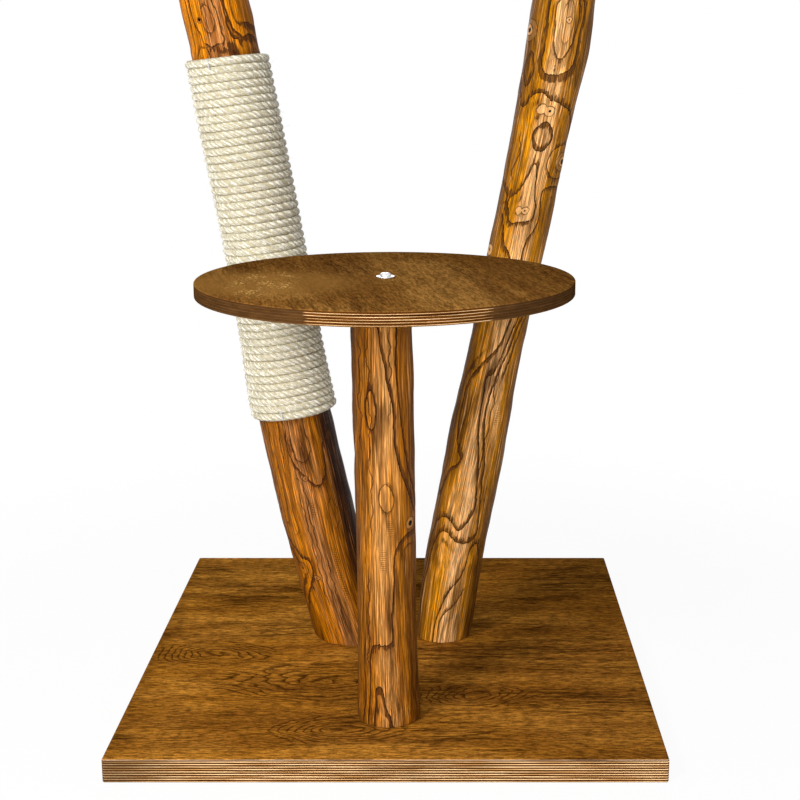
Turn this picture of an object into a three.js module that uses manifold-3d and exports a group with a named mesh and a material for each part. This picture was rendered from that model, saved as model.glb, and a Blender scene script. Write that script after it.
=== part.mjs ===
// A cat scratching post made of three peeled natural logs on a square plywood base.
// The short middle log carries a round plywood shelf, held by one screw and washer.
// The two long logs lean apart; sisal rope is wound round the left one and stapled.
// Each log is fixed from under the base by a coach screw and three wood screws.
// Millimetres, +Z up. The origin is the centre of the base board's underside,
// +X is to the right and -Y is towards the side that the shelf is on.
import * as THREE from "three";
import { mergeVertices } from "three/addons/utils/BufferGeometryUtils.js";
import Module from "manifold-3d";

const wasm = await Module();
wasm.setup();

// ---- Driving dimensions ----

const drillGap = 0.3; // all round a screw or staple leg in its drilled hole
const jointGap = 0.25; // glue line or finish film where two flat faces meet

const baseWidth = 600;
const baseDepth = 600;
const baseThickness = 27;
const baseCornerRadius = 3;
const baseEdgeRound = 1.75;

const shelfDiameter = 400;
const shelfThickness = 15;
const shelfEdgeRound = 1.25;

// A log's line: height above the foot, sideways place of its centre, and diameter.
const centerPostLine = [
  { height: 0, x: 0.3, diameter: 70.5 },
  { height: 50, x: -0.4, diameter: 67 },
  { height: 140, x: -1.6, diameter: 65 },
  { height: 240, x: -2, diameter: 66.3 },
  { height: 360, x: -3.8, diameter: 65.8 },
  { height: 482, x: -4.8, diameter: 65 },
];
const leftPostLine = [
  { height: 0, x: -54, diameter: 94.5 },
  { height: 95, x: -82.3, diameter: 92 },
  { height: 200, x: -105.8, diameter: 91 },
  { height: 305, x: -126.4, diameter: 88.3 },
  { height: 390, x: -139.8, diameter: 82.2 },
  { height: 508, x: -157.7, diameter: 81 },
  { height: 655, x: -183.4, diameter: 81.6 },
  { height: 735, x: -197.6, diameter: 80.6 },
  { height: 853, x: -221.8, diameter: 80 },
];
const rightPostLine = [
  { height: 0, x: 60.8, diameter: 70.5 },
  { height: 90, x: 73.3, diameter: 70.8 },
  { height: 138, x: 81.5, diameter: 72.8 },
  { height: 243, x: 100.4, diameter: 70.3 },
  { height: 346, x: 120.1, diameter: 67.6 },
  { height: 508, x: 152.7, diameter: 67.6 },
  { height: 605, x: 171.2, diameter: 66.8 },
  { height: 676, x: 184.5, diameter: 69.7 },
  { height: 735, x: 194.8, diameter: 73.4 },
  { height: 853, x: 209.5, diameter: 73 },
];
const centerPostFromFront = 104.25; // centre of the foot to the base's front edge
const leftPostFromBack = 268;
const rightPostFromBack = 271;
const centerPostY = centerPostFromFront - baseDepth / 2;
const leftPostY = baseDepth / 2 - leftPostFromBack;
const rightPostY = baseDepth / 2 - rightPostFromBack;
const logSides = 24;
const logRingSpacing = 30;
const sawnEdgeRound = 1.5; // the sanded rim of each sawn log end

const ropeThickness = 8.6; // of the rope as it is pressed on the log
const ropeWrapBottom = 294.5; // height above the base, at the log's centre
const ropeWrapTop = 727;
const ropeLoops = 23.64;
const ropeLoopSteps = 24;
const ropeLoopGap = 0.9; // between one turn and the next
const ropeShoulderShare = 0.55; // how far out of its thickness a turn is at its tallest
const ropeInsideShare = 0.88; // height of its inside face against its tallest
const ropeCrownShare = 0.52; // height of its outside face against its tallest
const ropeStartAngle = 30; // degrees round the log from +X, at the bottom end
const ropeStrandDiameter = 9.3; // of one turn of the real rope, which the staples straddle

const stapleWireWidth = 1.3;
const stapleWireThickness = 0.75;
const stapleLegInLog = 7;
const topStapleAngle = -108;
const bottomStapleAngle = -99;

const coachScrewDiameter = 10;
const coachScrewLength = 90;
const coachHeadAcrossFlats = 17;
const coachHeadHeight = 7;
const coachWasherDiameter = 30;
const coachWasherThickness = 2.5;
const coachRecessDiameter = 36;
const coachRecessDepth = 12;

const woodScrewDiameter = 5;
const woodScrewLength = 75;
const woodScrewHeadDiameter = 11;
const woodScrewHeadRim = 0.4; // straight rim under the flat of the countersunk head
const woodScrewHeadSink = 0.5; // how far the head sits inside the underside
const woodScrewRecess = 2.2; // depth of the cross recess
const crossRecessWidth = 1.4;
const crossRecessShare = 0.55; // length of the cross against the head it is in
const woodScrewsPerLog = 3;

const shelfScrewDiameter = 6;
const shelfScrewLength = 75;
const shelfScrewHeadDiameter = 11.5;
const shelfScrewHeadHeight = 3.6;
const shelfScrewHeadRim = 1; // straight rim under the dome of the pan head
const shelfScrewRecess = 1.8;
const shelfWasherDiameter = 19.5;
const shelfWasherThickness = 1.6;

// Where the screws stand under each log: its screw circle and its shift along the lean.
const centerPostScrews = { circle: 21, shift: 0, turn: 90 };
const leftPostScrews = { circle: 25, shift: -10, turn: 90 };
const rightPostScrews = { circle: 20, shift: 5, turn: 90 };

const roundSides = 24; // of washers and recesses
const screwSides = 12;
const shelfSides = 96;
const domeSteps = 4;
const overcut = 1; // how far a cutter runs past the face that it opens

// ---- Finishes ----

const logWood = new THREE.MeshStandardMaterial({ color: 0xa4682a, roughness: 0.45 });
const boardWood = new THREE.MeshStandardMaterial({ color: 0x6e4720, roughness: 0.55 });
const sisal = new THREE.MeshStandardMaterial({ color: 0xded2b2, roughness: 0.95 });
const zinc = new THREE.MeshStandardMaterial({ color: 0xc9cbcc, roughness: 0.3, metalness: 1 });

// ---- Helpers ----

const radians = THREE.MathUtils.degToRad;

// A closed mesh as a solid that can be joined and cut.
function solidOf(geometry) {
  const plain = geometry.clone();
  plain.deleteAttribute("normal");
  plain.deleteAttribute("uv");
  const merged = mergeVertices(plain, 1e-4);
  const mesh = new wasm.Mesh({
    numProp: 3,
    vertProperties: merged.attributes.position.array,
    triVerts: new Uint32Array(merged.index.array),
  });
  return new wasm.Manifold(mesh);
}

// The solid's triangles as a geometry.
function geometryOf(solid) {
  const mesh = solid.getMesh();
  const geometry = new THREE.BufferGeometry();
  geometry.setAttribute("position", new THREE.BufferAttribute(mesh.vertProperties, 3));
  geometry.setIndex(new THREE.BufferAttribute(mesh.triVerts, 1));
  geometry.computeVertexNormals();
  return geometry;
}

// A geometry with each of the cutters taken out of it.
function cutBy(geometry, cutters) {
  const cut = cutters.reduce((solid, cutter) => solid.subtract(solidOf(cutter)), solidOf(geometry));
  return geometryOf(cut);
}

// A turned solid about the +Z axis from a profile of [radius, height] points.
function turned(profile, sides) {
  const points = profile.map(([radius, height]) => new THREE.Vector2(radius, height));
  return new THREE.LatheGeometry(points, sides).rotateX(Math.PI / 2);
}

// A plain round bar or hole from one height to another.
function bar(diameter, low, high, sides) {
  const radius = diameter / 2;
  return turned([[0, low], [radius, low], [radius, high], [0, high]], sides);
}

// A named part with its finish.
function part(name, geometry, material) {
  const mesh = new THREE.Mesh(geometry, material);
  mesh.name = name;
  return mesh;
}

// A station value at a height, on the smooth curve that runs through every station.
function alongLine(line, key, height) {
  const last = line.length - 1;
  const found = line.findIndex((station) => station.height > height);
  const upper = found < 0 ? last : Math.max(found, 1);
  const lower = upper - 1;
  const slope = (index) => {
    const below = line[Math.max(index - 1, 0)];
    const above = line[Math.min(index + 1, last)];
    return (above[key] - below[key]) / (above.height - below.height);
  };
  const span = line[upper].height - line[lower].height;
  const t = (height - line[lower].height) / span;
  const rise = t * t * (3 - 2 * t);
  const leaving = t * (1 - t) * (1 - t) * span * slope(lower);
  const arriving = t * t * (t - 1) * span * slope(upper);
  return line[lower][key] * (1 - rise) + line[upper][key] * rise + leaving + arriving;
}

// The log's centre, its lean and its radius at a height above its foot.
function logAt(line, height) {
  const reach = 1;
  const low = alongLine(line, "x", height - reach);
  const high = alongLine(line, "x", height + reach);
  return {
    x: alongLine(line, "x", height),
    slope: (high - low) / (2 * reach),
    radius: alongLine(line, "diameter", height) / 2,
  };
}

// ---- Logs ----

const footHeight = baseThickness + jointGap;

// Level rings from the foot up to the sawn top, each an ellipse where the log leans.
function logGeometry(line, y) {
  const top = line[line.length - 1].height;
  const inner = Math.round(top / logRingSpacing);
  const rims = inner + 2;
  const geometry = new THREE.CylinderGeometry(1, 1, 1, logSides, rims).rotateX(Math.PI / 2);
  const place = geometry.attributes.position;
  for (let index = 0; index < place.count; index += 1) {
    const ring = Math.round((place.getZ(index) + 0.5) * rims);
    const atRim = ring === 0 || ring === rims;
    const step = (top - 2 * sawnEdgeRound) / inner;
    const middle = sawnEdgeRound + (ring - 1) * step;
    const height = ring === 0 ? 0 : ring === rims ? top : middle;
    const log = logAt(line, height);
    const radius = log.radius - (atRim ? sawnEdgeRound : 0);
    const stretch = Math.hypot(1, log.slope);
    const across = log.x + place.getX(index) * radius * stretch;
    place.setXYZ(index, across, y + place.getY(index) * radius, footHeight + height);
  }
  return geometry;
}

// ---- Fixings under the base ----

const coachHeadTop = coachRecessDepth - coachWasherThickness - 2 * jointGap;
const coachHeadBottom = coachHeadTop - coachHeadHeight;
const coachTip = coachHeadTop + coachScrewLength;
const woodScrewTip = woodScrewHeadSink + woodScrewLength;

// The coach screw's shank from a height up to its point, grown by a gap for its hole.
function coachShank(low, gap) {
  const radius = coachScrewDiameter / 2 + gap;
  const tip = coachTip + gap;
  const shoulder = tip - coachScrewDiameter;
  return turned([[0, low], [radius, low], [radius, shoulder], [0, tip]], screwSides);
}

function coachScrewGeometry() {
  const circumradius = coachHeadAcrossFlats / Math.sqrt(3);
  const head = new THREE.CylinderGeometry(circumradius, circumradius, coachHeadHeight, 6);
  head.rotateX(Math.PI / 2).translate(0, 0, (coachHeadBottom + coachHeadTop) / 2);
  const shank = coachShank(coachHeadTop - coachHeadHeight / 2, 0);
  return geometryOf(solidOf(head).add(solidOf(shank)));
}

// A flat ring, or a washer.
function washerGeometry(outerDiameter, innerDiameter, low, thickness) {
  const inner = innerDiameter / 2;
  const outer = outerDiameter / 2;
  const high = low + thickness;
  const profile = [[inner, low], [outer, low], [outer, high], [inner, high], [inner, low]];
  return turned(profile, roundSides);
}

// A countersunk wood screw's outline, grown by a gap for its hole, from a face height.
function woodScrewOutline(face, gap) {
  const radius = woodScrewDiameter / 2 + gap;
  const headRadius = woodScrewHeadDiameter / 2 + gap;
  const rimTop = woodScrewHeadSink + woodScrewHeadRim + gap;
  const coneTop = rimTop + headRadius - radius;
  const tip = woodScrewTip + gap;
  const shoulder = tip - 2 * woodScrewDiameter;
  return [
    [0, face],
    [headRadius, face],
    [headRadius, rimTop],
    [radius, coneTop],
    [radius, shoulder],
    [0, tip],
  ];
}

// Two crossed slots for a screwdriver, of one span, from one height to another.
function crossRecess(span, low, high) {
  const depth = high - low;
  const middle = (low + high) / 2;
  const one = new THREE.BoxGeometry(span, crossRecessWidth, depth).translate(0, 0, middle);
  const other = new THREE.BoxGeometry(crossRecessWidth, span, depth).translate(0, 0, middle);
  return [one, other];
}

function woodScrewGeometry() {
  const screw = turned(woodScrewOutline(woodScrewHeadSink, 0), screwSides);
  const bottom = woodScrewHeadSink - overcut;
  const top = woodScrewHeadSink + woodScrewRecess;
  return cutBy(screw, crossRecess(woodScrewHeadDiameter * crossRecessShare, bottom, top));
}

// The places of a log's coach screw and of its wood screws, from above.
function fixingPlaces(line, y, screws) {
  const x = line[0].x + screws.shift;
  const around = [];
  for (let index = 0; index < woodScrewsPerLog; index += 1) {
    const angle = radians(screws.turn + (index * 360) / woodScrewsPerLog);
    around.push([x + screws.circle * Math.cos(angle), y + screws.circle * Math.sin(angle)]);
  }
  return { center: [x, y], around };
}

// Everything that is drilled for one log's fixings, in the base and in the log.
function fixingHoles(places) {
  const [x, y] = places.center;
  const recess = bar(coachRecessDiameter, -overcut, coachRecessDepth, roundSides);
  const holes = [recess.translate(x, y, 0), coachShank(-overcut, drillGap).translate(x, y, 0)];
  for (const [screwX, screwY] of places.around) {
    const hole = turned(woodScrewOutline(-overcut, drillGap), screwSides);
    holes.push(hole.translate(screwX, screwY, 0));
  }
  return holes;
}

// The coach screw, its washer and the wood screws of one log.
function fixings(name, places) {
  const [x, y] = places.center;
  const screw = part(`${name}_coach_screw`, coachScrewGeometry(), zinc);
  const washerBottom = coachHeadTop + jointGap;
  const washerHole = coachScrewDiameter + 4 * drillGap;
  const ring = washerGeometry(coachWasherDiameter, washerHole, washerBottom, coachWasherThickness);
  const washer = part(`${name}_coach_washer`, ring, zinc);
  const pieces = [screw, washer];
  pieces.forEach((piece) => piece.position.set(x, y, 0));
  places.around.forEach(([screwX, screwY], index) => {
    const woodScrew = part(`${name}_wood_screw_${index + 1}`, woodScrewGeometry(), zinc);
    woodScrew.position.set(screwX, screwY, 0);
    pieces.push(woodScrew);
  });
  return pieces;
}

// ---- Base board ----

function roundedRectangle(width, depth, radius) {
  const shape = new THREE.Shape();
  const x = width / 2 - radius;
  const y = depth / 2 - radius;
  shape.absarc(x, y, radius, 0, Math.PI / 2);
  shape.absarc(-x, y, radius, Math.PI / 2, Math.PI);
  shape.absarc(-x, -y, radius, Math.PI, 1.5 * Math.PI);
  shape.absarc(x, -y, radius, 1.5 * Math.PI, 2 * Math.PI);
  return shape;
}

function baseGeometry(holes) {
  const outline = roundedRectangle(baseWidth, baseDepth, baseCornerRadius);
  const board = new THREE.ExtrudeGeometry(outline, {
    depth: baseThickness - 2 * baseEdgeRound,
    bevelThickness: baseEdgeRound,
    bevelSize: baseEdgeRound,
    bevelOffset: -baseEdgeRound,
    bevelSegments: 2,
    curveSegments: 4,
  });
  return cutBy(board.translate(0, 0, baseEdgeRound), holes);
}

// ---- Shelf and its screw ----

const centerPostTop = footHeight + centerPostLine[centerPostLine.length - 1].height;
const shelfBottom = centerPostTop + jointGap;
const shelfTop = shelfBottom + shelfThickness;
const shelfWasherBottom = shelfTop + jointGap;
const shelfHeadBottom = shelfWasherBottom + shelfWasherThickness + jointGap;

// A round disc with softly rounded rims.
function shelfGeometry(holes) {
  const radius = shelfDiameter / 2;
  const inset = shelfEdgeRound * (1 - Math.SQRT1_2);
  const profile = [
    [0, shelfBottom],
    [radius - shelfEdgeRound, shelfBottom],
    [radius - inset, shelfBottom + inset],
    [radius, shelfBottom + shelfEdgeRound],
    [radius, shelfTop - shelfEdgeRound],
    [radius - inset, shelfTop - inset],
    [radius - shelfEdgeRound, shelfTop],
    [0, shelfTop],
  ];
  return cutBy(turned(profile, shelfSides).translate(0, centerPostY, 0), holes);
}

// The shelf screw's shank, from its point up to a height, grown by a gap for its hole.
function shelfShank(high, gap) {
  const radius = shelfScrewDiameter / 2 + gap;
  const tip = shelfHeadBottom - shelfScrewLength - gap;
  const shoulder = tip + 2 * shelfScrewDiameter;
  return turned([[0, tip], [radius, shoulder], [radius, high], [0, high]], screwSides);
}

// The pan head is a straight rim with a dome on it, and has a cross recess.
function shelfScrewGeometry() {
  const radius = shelfScrewHeadDiameter / 2;
  const rimTop = shelfHeadBottom + shelfScrewHeadRim;
  const top = shelfHeadBottom + shelfScrewHeadHeight;
  const outline = [[0, shelfHeadBottom], [radius, shelfHeadBottom]];
  for (let step = 0; step < domeSteps; step += 1) {
    const angle = (step / domeSteps) * (Math.PI / 2);
    outline.push([radius * Math.cos(angle), rimTop + (top - rimTop) * Math.sin(angle)]);
  }
  outline.push([0, top]);
  const head = solidOf(turned(outline, roundSides));
  const screw = geometryOf(head.add(solidOf(shelfShank(rimTop, 0))));
  const span = shelfScrewHeadDiameter * crossRecessShare;
  return cutBy(screw, crossRecess(span, top - shelfScrewRecess, top + overcut));
}

// ---- Sisal rope ----

const ropeWrapHeight = ropeWrapTop - ropeWrapBottom;
const ropeMiddle = logAt(leftPostLine, (ropeWrapTop + ropeWrapBottom) / 2);
const ropeWrapLength = ropeWrapHeight * Math.hypot(1, ropeMiddle.slope);
const ropePitch = (ropeWrapLength + ropeLoopGap) / (ropeLoops + 1);
const ropeTurnHeight = ropePitch - ropeLoopGap;
const ropeSteps = Math.round(ropeLoops * ropeLoopSteps);
const ropeEndAngle = ropeStartAngle - 360 * ropeLoops;

// The space between the log's faces and the inside of the wrap, which is a polygon too.
function ropeInnerRadius(logRadius) {
  return (logRadius + drillGap) / Math.cos(Math.PI / ropeLoopSteps);
}

// Point on the wrap: height along the log, angle round it, out from its inner face, along it.
function wrapPoint(height, angle, out, along) {
  const log = logAt(leftPostLine, height);
  const axis = new THREE.Vector3(log.slope, 0, 1).normalize();
  const side = new THREE.Vector3(1, 0, -log.slope).normalize();
  const center = new THREE.Vector3(log.x, leftPostY, footHeight + height);
  const drop = side.z * log.radius * Math.cos(angle);
  const radius = ropeInnerRadius(logAt(leftPostLine, height + drop).radius) + out;
  return center
    .addScaledVector(side, radius * Math.cos(angle))
    .add(new THREE.Vector3(0, radius * Math.sin(angle), 0))
    .addScaledVector(axis, along);
}

// The section's six corners: flat on the log, full at the shoulders and crowned outside.
const ropeHalf = ropeTurnHeight / 2;
const ropeSection = [
  [0, -ropeHalf * ropeInsideShare],
  [ropeThickness * ropeShoulderShare, -ropeHalf],
  [ropeThickness, -ropeHalf * ropeCrownShare],
  [ropeThickness, ropeHalf * ropeCrownShare],
  [ropeThickness * ropeShoulderShare, ropeHalf],
  [0, ropeHalf * ropeInsideShare],
];

// The ring of six corners at a share of the way from the bottom end to the top end.
function ropeRing(share) {
  const rise = ropeTurnHeight / 2 + share * (ropeWrapLength - ropeTurnHeight);
  const height = ropeWrapBottom + (rise * ropeWrapHeight) / ropeWrapLength;
  const angle = radians(ropeStartAngle + share * (ropeEndAngle - ropeStartAngle));
  return ropeSection.map(([out, along]) => wrapPoint(height, angle, out, along));
}

// A ring moved straight on past its neighbour, by the rope's own thickness.
function straightEnd(end, neighbour) {
  return end.map((corner, index) => {
    const onward = corner.clone().sub(neighbour[index]).setLength(ropeThickness);
    return onward.add(corner);
  });
}

function ropeRings() {
  const rings = [];
  for (let step = 0; step <= ropeSteps; step += 1) {
    rings.push(ropeRing(step / ropeSteps));
  }
  const bottomEnd = straightEnd(rings[0], rings[1]);
  const topEnd = straightEnd(rings[ropeSteps], rings[ropeSteps - 1]);
  return [bottomEnd, ...rings, topEnd];
}

// One unbroken tube: a skin between neighbouring rings, and a fan of triangles at each end.
function ropeGeometry(rings) {
  const corners = ropeSection.length;
  const faces = [];
  for (let ring = 0; ring < rings.length - 1; ring += 1) {
    for (let corner = 0; corner < corners; corner += 1) {
      const next = (corner + 1) % corners;
      const here = ring * corners;
      const there = here + corners;
      faces.push(here + corner, there + next, there + corner);
      faces.push(here + corner, here + next, there + next);
    }
  }
  const last = (rings.length - 1) * corners;
  for (let corner = 1; corner < corners - 1; corner += 1) {
    faces.push(0, corner + 1, corner);
    faces.push(last, last + corner, last + corner + 1);
  }
  const geometry = new THREE.BufferGeometry().setFromPoints(rings.flat());
  geometry.setIndex(faces);
  geometry.computeVertexNormals();
  return geometry;
}

// The least distance from any corner of a turn to the corners and edges of the next turn.
function leastRopeGap(rings) {
  let least = Infinity;
  const edge = new THREE.Line3();
  const nearest = new THREE.Vector3();
  for (let ring = 0; ring < rings.length - ropeLoopSteps; ring += 1) {
    for (const corner of rings[ring]) {
      const first = ring + ropeLoopSteps - 2;
      const final = Math.min(first + 4, rings.length - 1);
      for (let other = first; other <= final; other += 1) {
        rings[other].forEach((start, index) => {
          edge.set(start, rings[other][(index + 1) % ropeSection.length]);
          edge.closestPointToPoint(corner, true, nearest);
          least = Math.min(least, nearest.distanceTo(corner));
        });
      }
    }
  }
  return least;
}

// ---- Staples over the rope's two end turns ----

const stapleCrown = ropeStrandDiameter + 2 * (stapleWireThickness + drillGap);
const stapleReach = ropeThickness + 2 * drillGap;

// A frame on the log: x along the log, y round it and z straight out of it.
function stapleFrame(height, angleDegrees) {
  const angle = radians(angleDegrees);
  const origin = wrapPoint(height, angle, -drillGap, 0);
  const along = wrapPoint(height, angle, -drillGap, 1).sub(origin).normalize();
  const out = wrapPoint(height, angle, 1 - drillGap, 0).sub(origin).normalize();
  const round = new THREE.Vector3().crossVectors(out, along);
  return new THREE.Matrix4().makeBasis(along, round, out).setPosition(origin);
}

// A bent wire: a crown over the rope and two legs, as an outline with the wire's width.
function stapleGeometry() {
  const half = stapleCrown / 2;
  const inner = half - stapleWireThickness;
  const outline = new THREE.Shape();
  outline.moveTo(-half, -stapleLegInLog);
  outline.lineTo(-inner, -stapleLegInLog);
  outline.lineTo(-inner, stapleReach);
  outline.lineTo(inner, stapleReach);
  outline.lineTo(inner, -stapleLegInLog);
  outline.lineTo(half, -stapleLegInLog);
  outline.lineTo(half, stapleReach + stapleWireThickness);
  outline.lineTo(-half, stapleReach + stapleWireThickness);
  const wire = new THREE.ExtrudeGeometry(outline, { depth: stapleWireWidth, bevelEnabled: false });
  return wire.translate(0, 0, -stapleWireWidth / 2).rotateX(Math.PI / 2);
}

// The slot round each leg, through the rope and into the log.
function stapleSlots(frame) {
  const thickness = stapleWireThickness + 2 * drillGap;
  const width = stapleWireWidth + 2 * drillGap;
  const low = -stapleLegInLog - drillGap;
  const high = stapleReach + overcut;
  const place = (stapleCrown - stapleWireThickness) / 2;
  return [-place, place].map((x) => {
    const slot = new THREE.BoxGeometry(thickness, width, high - low);
    return slot.translate(x, 0, (low + high) / 2).applyMatrix4(frame);
  });
}

// How far in from the wrap's edge an end turn's middle is, at an angle on from its end.
function inFromEdge(turnAngle) {
  const turns = THREE.MathUtils.euclideanModulo(turnAngle, 360) / 360;
  return ((0.5 + turns) * ropeStrandDiameter * ropeWrapHeight) / ropeWrapLength;
}

const topStapleHeight = ropeWrapTop - inFromEdge(topStapleAngle - ropeEndAngle);
const bottomStapleHeight = ropeWrapBottom + inFromEdge(ropeStartAngle - bottomStapleAngle);
const topStapleFrame = stapleFrame(topStapleHeight, topStapleAngle);
const bottomStapleFrame = stapleFrame(bottomStapleHeight, bottomStapleAngle);

function staple(name, frame) {
  const mesh = part(name, stapleGeometry(), zinc);
  frame.decompose(mesh.position, mesh.quaternion, mesh.scale);
  return mesh;
}

// ---- The whole post ----

const centerPlaces = fixingPlaces(centerPostLine, centerPostY, centerPostScrews);
const leftPlaces = fixingPlaces(leftPostLine, leftPostY, leftPostScrews);
const rightPlaces = fixingPlaces(rightPostLine, rightPostY, rightPostScrews);
const centerHoles = fixingHoles(centerPlaces);
const leftHoles = fixingHoles(leftPlaces);
const rightHoles = fixingHoles(rightPlaces);
const shelfScrewHole = shelfShank(shelfTop + overcut, drillGap).translate(0, centerPostY, 0);
const legSlots = [...stapleSlots(topStapleFrame), ...stapleSlots(bottomStapleFrame)];

const centerLog = cutBy(logGeometry(centerPostLine, centerPostY), [...centerHoles, shelfScrewHole]);
const leftLog = cutBy(logGeometry(leftPostLine, leftPostY), [...leftHoles, ...legSlots]);
const rightLog = cutBy(logGeometry(rightPostLine, rightPostY), rightHoles);

const rings = ropeRings();
console.log(`least gap of the rope to itself: ${leastRopeGap(rings).toFixed(2)} mm`);

const washerHoleDiameter = shelfScrewDiameter + 2 * drillGap;
const shelfWasherRing = washerGeometry(
  shelfWasherDiameter, washerHoleDiameter, shelfWasherBottom, shelfWasherThickness,
);
const shelfScrew = part("shelf_screw", shelfScrewGeometry(), zinc);
const shelfWasher = part("shelf_washer", shelfWasherRing, zinc);
shelfScrew.position.y = centerPostY;
shelfWasher.position.y = centerPostY;

const scratchingPost = new THREE.Group();
scratchingPost.add(
  part("base_board", baseGeometry([...centerHoles, ...leftHoles, ...rightHoles]), boardWood),
  part("center_post", centerLog, logWood),
  part("left_post", leftLog, logWood),
  part("right_post", rightLog, logWood),
  part("shelf_disc", shelfGeometry([shelfScrewHole]), boardWood),
  shelfScrew,
  shelfWasher,
  part("sisal_rope_wrap", cutBy(ropeGeometry(rings), legSlots), sisal),
  staple("rope_staple_top", topStapleFrame),
  staple("rope_staple_bottom", bottomStapleFrame),
  ...fixings("center_post", centerPlaces),
  ...fixings("left_post", leftPlaces),
  ...fixings("right_post", rightPlaces),
);

export default scratchingPost;
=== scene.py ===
# %% [markdown]
# # A cat scratching post of peeled logs, plywood and sisal
#
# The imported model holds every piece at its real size. This lesson dresses it: the logs get their
# ring pattern and knots, the boards their plies and face grain, and the wrap its three-strand rope.
# Everything is in metres, with +Z up and the origin in the middle of the base board's underside.

import bpy
import numpy as np
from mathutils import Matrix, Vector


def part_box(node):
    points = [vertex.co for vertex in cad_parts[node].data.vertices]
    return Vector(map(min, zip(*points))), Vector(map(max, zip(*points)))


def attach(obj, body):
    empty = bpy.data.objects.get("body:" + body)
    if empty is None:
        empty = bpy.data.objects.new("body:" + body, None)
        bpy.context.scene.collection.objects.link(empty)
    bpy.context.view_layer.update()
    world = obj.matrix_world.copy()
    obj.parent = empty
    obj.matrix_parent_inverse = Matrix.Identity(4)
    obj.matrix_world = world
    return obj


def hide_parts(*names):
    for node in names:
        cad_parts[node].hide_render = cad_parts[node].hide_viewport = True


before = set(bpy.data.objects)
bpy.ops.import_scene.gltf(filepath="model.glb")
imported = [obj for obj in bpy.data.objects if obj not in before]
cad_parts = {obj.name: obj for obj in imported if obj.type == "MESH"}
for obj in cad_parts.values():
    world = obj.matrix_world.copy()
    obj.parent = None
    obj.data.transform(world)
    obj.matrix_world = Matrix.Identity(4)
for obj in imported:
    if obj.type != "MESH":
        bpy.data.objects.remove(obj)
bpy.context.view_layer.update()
print("nodes in the frame:", len(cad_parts))

# %% [markdown]
# ## Camera
#
# The photograph was taken from the front, a little above the shelf and tipped down by 11.5 degrees.
# A lens, two small shifts and one tilt reproduce it, because the board's four corners and the
# shelf's oval fix all of them.

# %% The camera of the photograph
PICTURE_PIXELS = 800
FOCAL_PIXELS = 1372.8
AXIS_PIXEL = (442.25, 338.6)
CAMERA_PLACE = (0.0600, -1.6301, 0.7499)
CAMERA_TILT_DOWN = 0.20026
SENSOR_MM = 36.0

camera_data = bpy.data.cameras.new("photo_camera")
camera_data.sensor_width = SENSOR_MM
camera_data.lens = FOCAL_PIXELS / PICTURE_PIXELS * SENSOR_MM
camera_data.shift_x = (PICTURE_PIXELS / 2 - AXIS_PIXEL[0]) / PICTURE_PIXELS
camera_data.shift_y = (AXIS_PIXEL[1] - PICTURE_PIXELS / 2) / PICTURE_PIXELS
camera = bpy.data.objects.new("photo_camera", camera_data)
camera.location = CAMERA_PLACE
camera.rotation_euler = (np.pi / 2 - CAMERA_TILT_DOWN, 0, 0)
scene = bpy.context.scene
scene.collection.objects.link(camera)
scene.camera = camera
scene.view_settings.view_transform = "Standard"
print("lens:", round(camera_data.lens, 2), "mm")

# %% [markdown]
# ## Light and background
#
# A soft lamp stands to the front left, as the photograph's shadows tell, one near the camera lights
# the logs from the front and gives them a faint real sheen, a weak one opens the shadows on the
# right, and another one keeps the back from going black. The long pale sheen down the logs' fronts
# is mostly a painted sheen in their colour. The background is white because of its colour, which
# only camera, glossy and transmission rays see, so it puts no extra light on the wood. The floor
# turns into the same white a little way from the board.

# %% Wiring shader nodes
def wire(tree, kind, inputs=(), out=0, **settings):
    """Adds one shader node, plugs sockets or plain values into its inputs and gives one output."""
    node = tree.nodes.new("ShaderNode" + kind)
    for setting, value in settings.items():
        setattr(node, setting, value)
    pairs = inputs.items() if isinstance(inputs, dict) else enumerate(inputs)
    for key, value in pairs:
        if isinstance(value, bpy.types.NodeSocket):
            tree.links.new(value, node.inputs[key])
        else:
            node.inputs[key].default_value = value
    return node.outputs[out]


def math(tree, operation, *values):
    """One Math node over plain numbers and sockets, with its result kept as it is."""
    return wire(tree, "Math", values, operation=operation)


def times(tree, first, second):
    """The product of two values."""
    return math(tree, "MULTIPLY", first, second)


def times_plus(tree, first, second, third):
    """The product of two values, plus a third."""
    return math(tree, "MULTIPLY_ADD", first, second, third)


def less(tree, first, second):
    """The first value less the second."""
    return math(tree, "SUBTRACT", first, second)


def larger(tree, first, second):
    """The larger one of two values."""
    return math(tree, "MAXIMUM", first, second)


def unsigned(tree, value):
    """A value without its sign."""
    return math(tree, "ABSOLUTE", value)


def part_of(tree, vector, axis):
    """One part of a vector: 0 for x, 1 for y and 2 for z."""
    return wire(tree, "SeparateXYZ", [vector], out=axis)


def ramp(tree, value, low, high, to_low=0.0, to_high=1.0):
    """A smooth step: to_low where value is at or below low, to_high at or above high."""
    inputs = {"Value": value, "From Min": low, "From Max": high, "To Min": to_low,
              "To Max": to_high}
    return wire(tree, "MapRange", inputs, interpolation_type="SMOOTHSTEP")


def blend_colour(tree, share, first, second, mode="MIX"):
    """The first colour where share is 0 and the second, in the given blend mode, where it is 1."""
    inputs = {0: share, 6: first, 7: second}
    return wire(tree, "Mix", inputs, out=2, data_type="RGBA", blend_type=mode)


def painted(tree, colour, *layers):
    """Colours laid over one another: each layer is a share and the colour that it brings."""
    for share, tone in layers:
        colour = blend_colour(tree, share, colour, tone)
    return colour


def lit(tree, colour, light):
    """The colour, made lighter or darker by a number that is 1 where it stays as it is."""
    grey = wire(tree, "CombineColor", [light, light, light])
    return blend_colour(tree, 1.0, colour, grey, "MULTIPLY")


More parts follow.
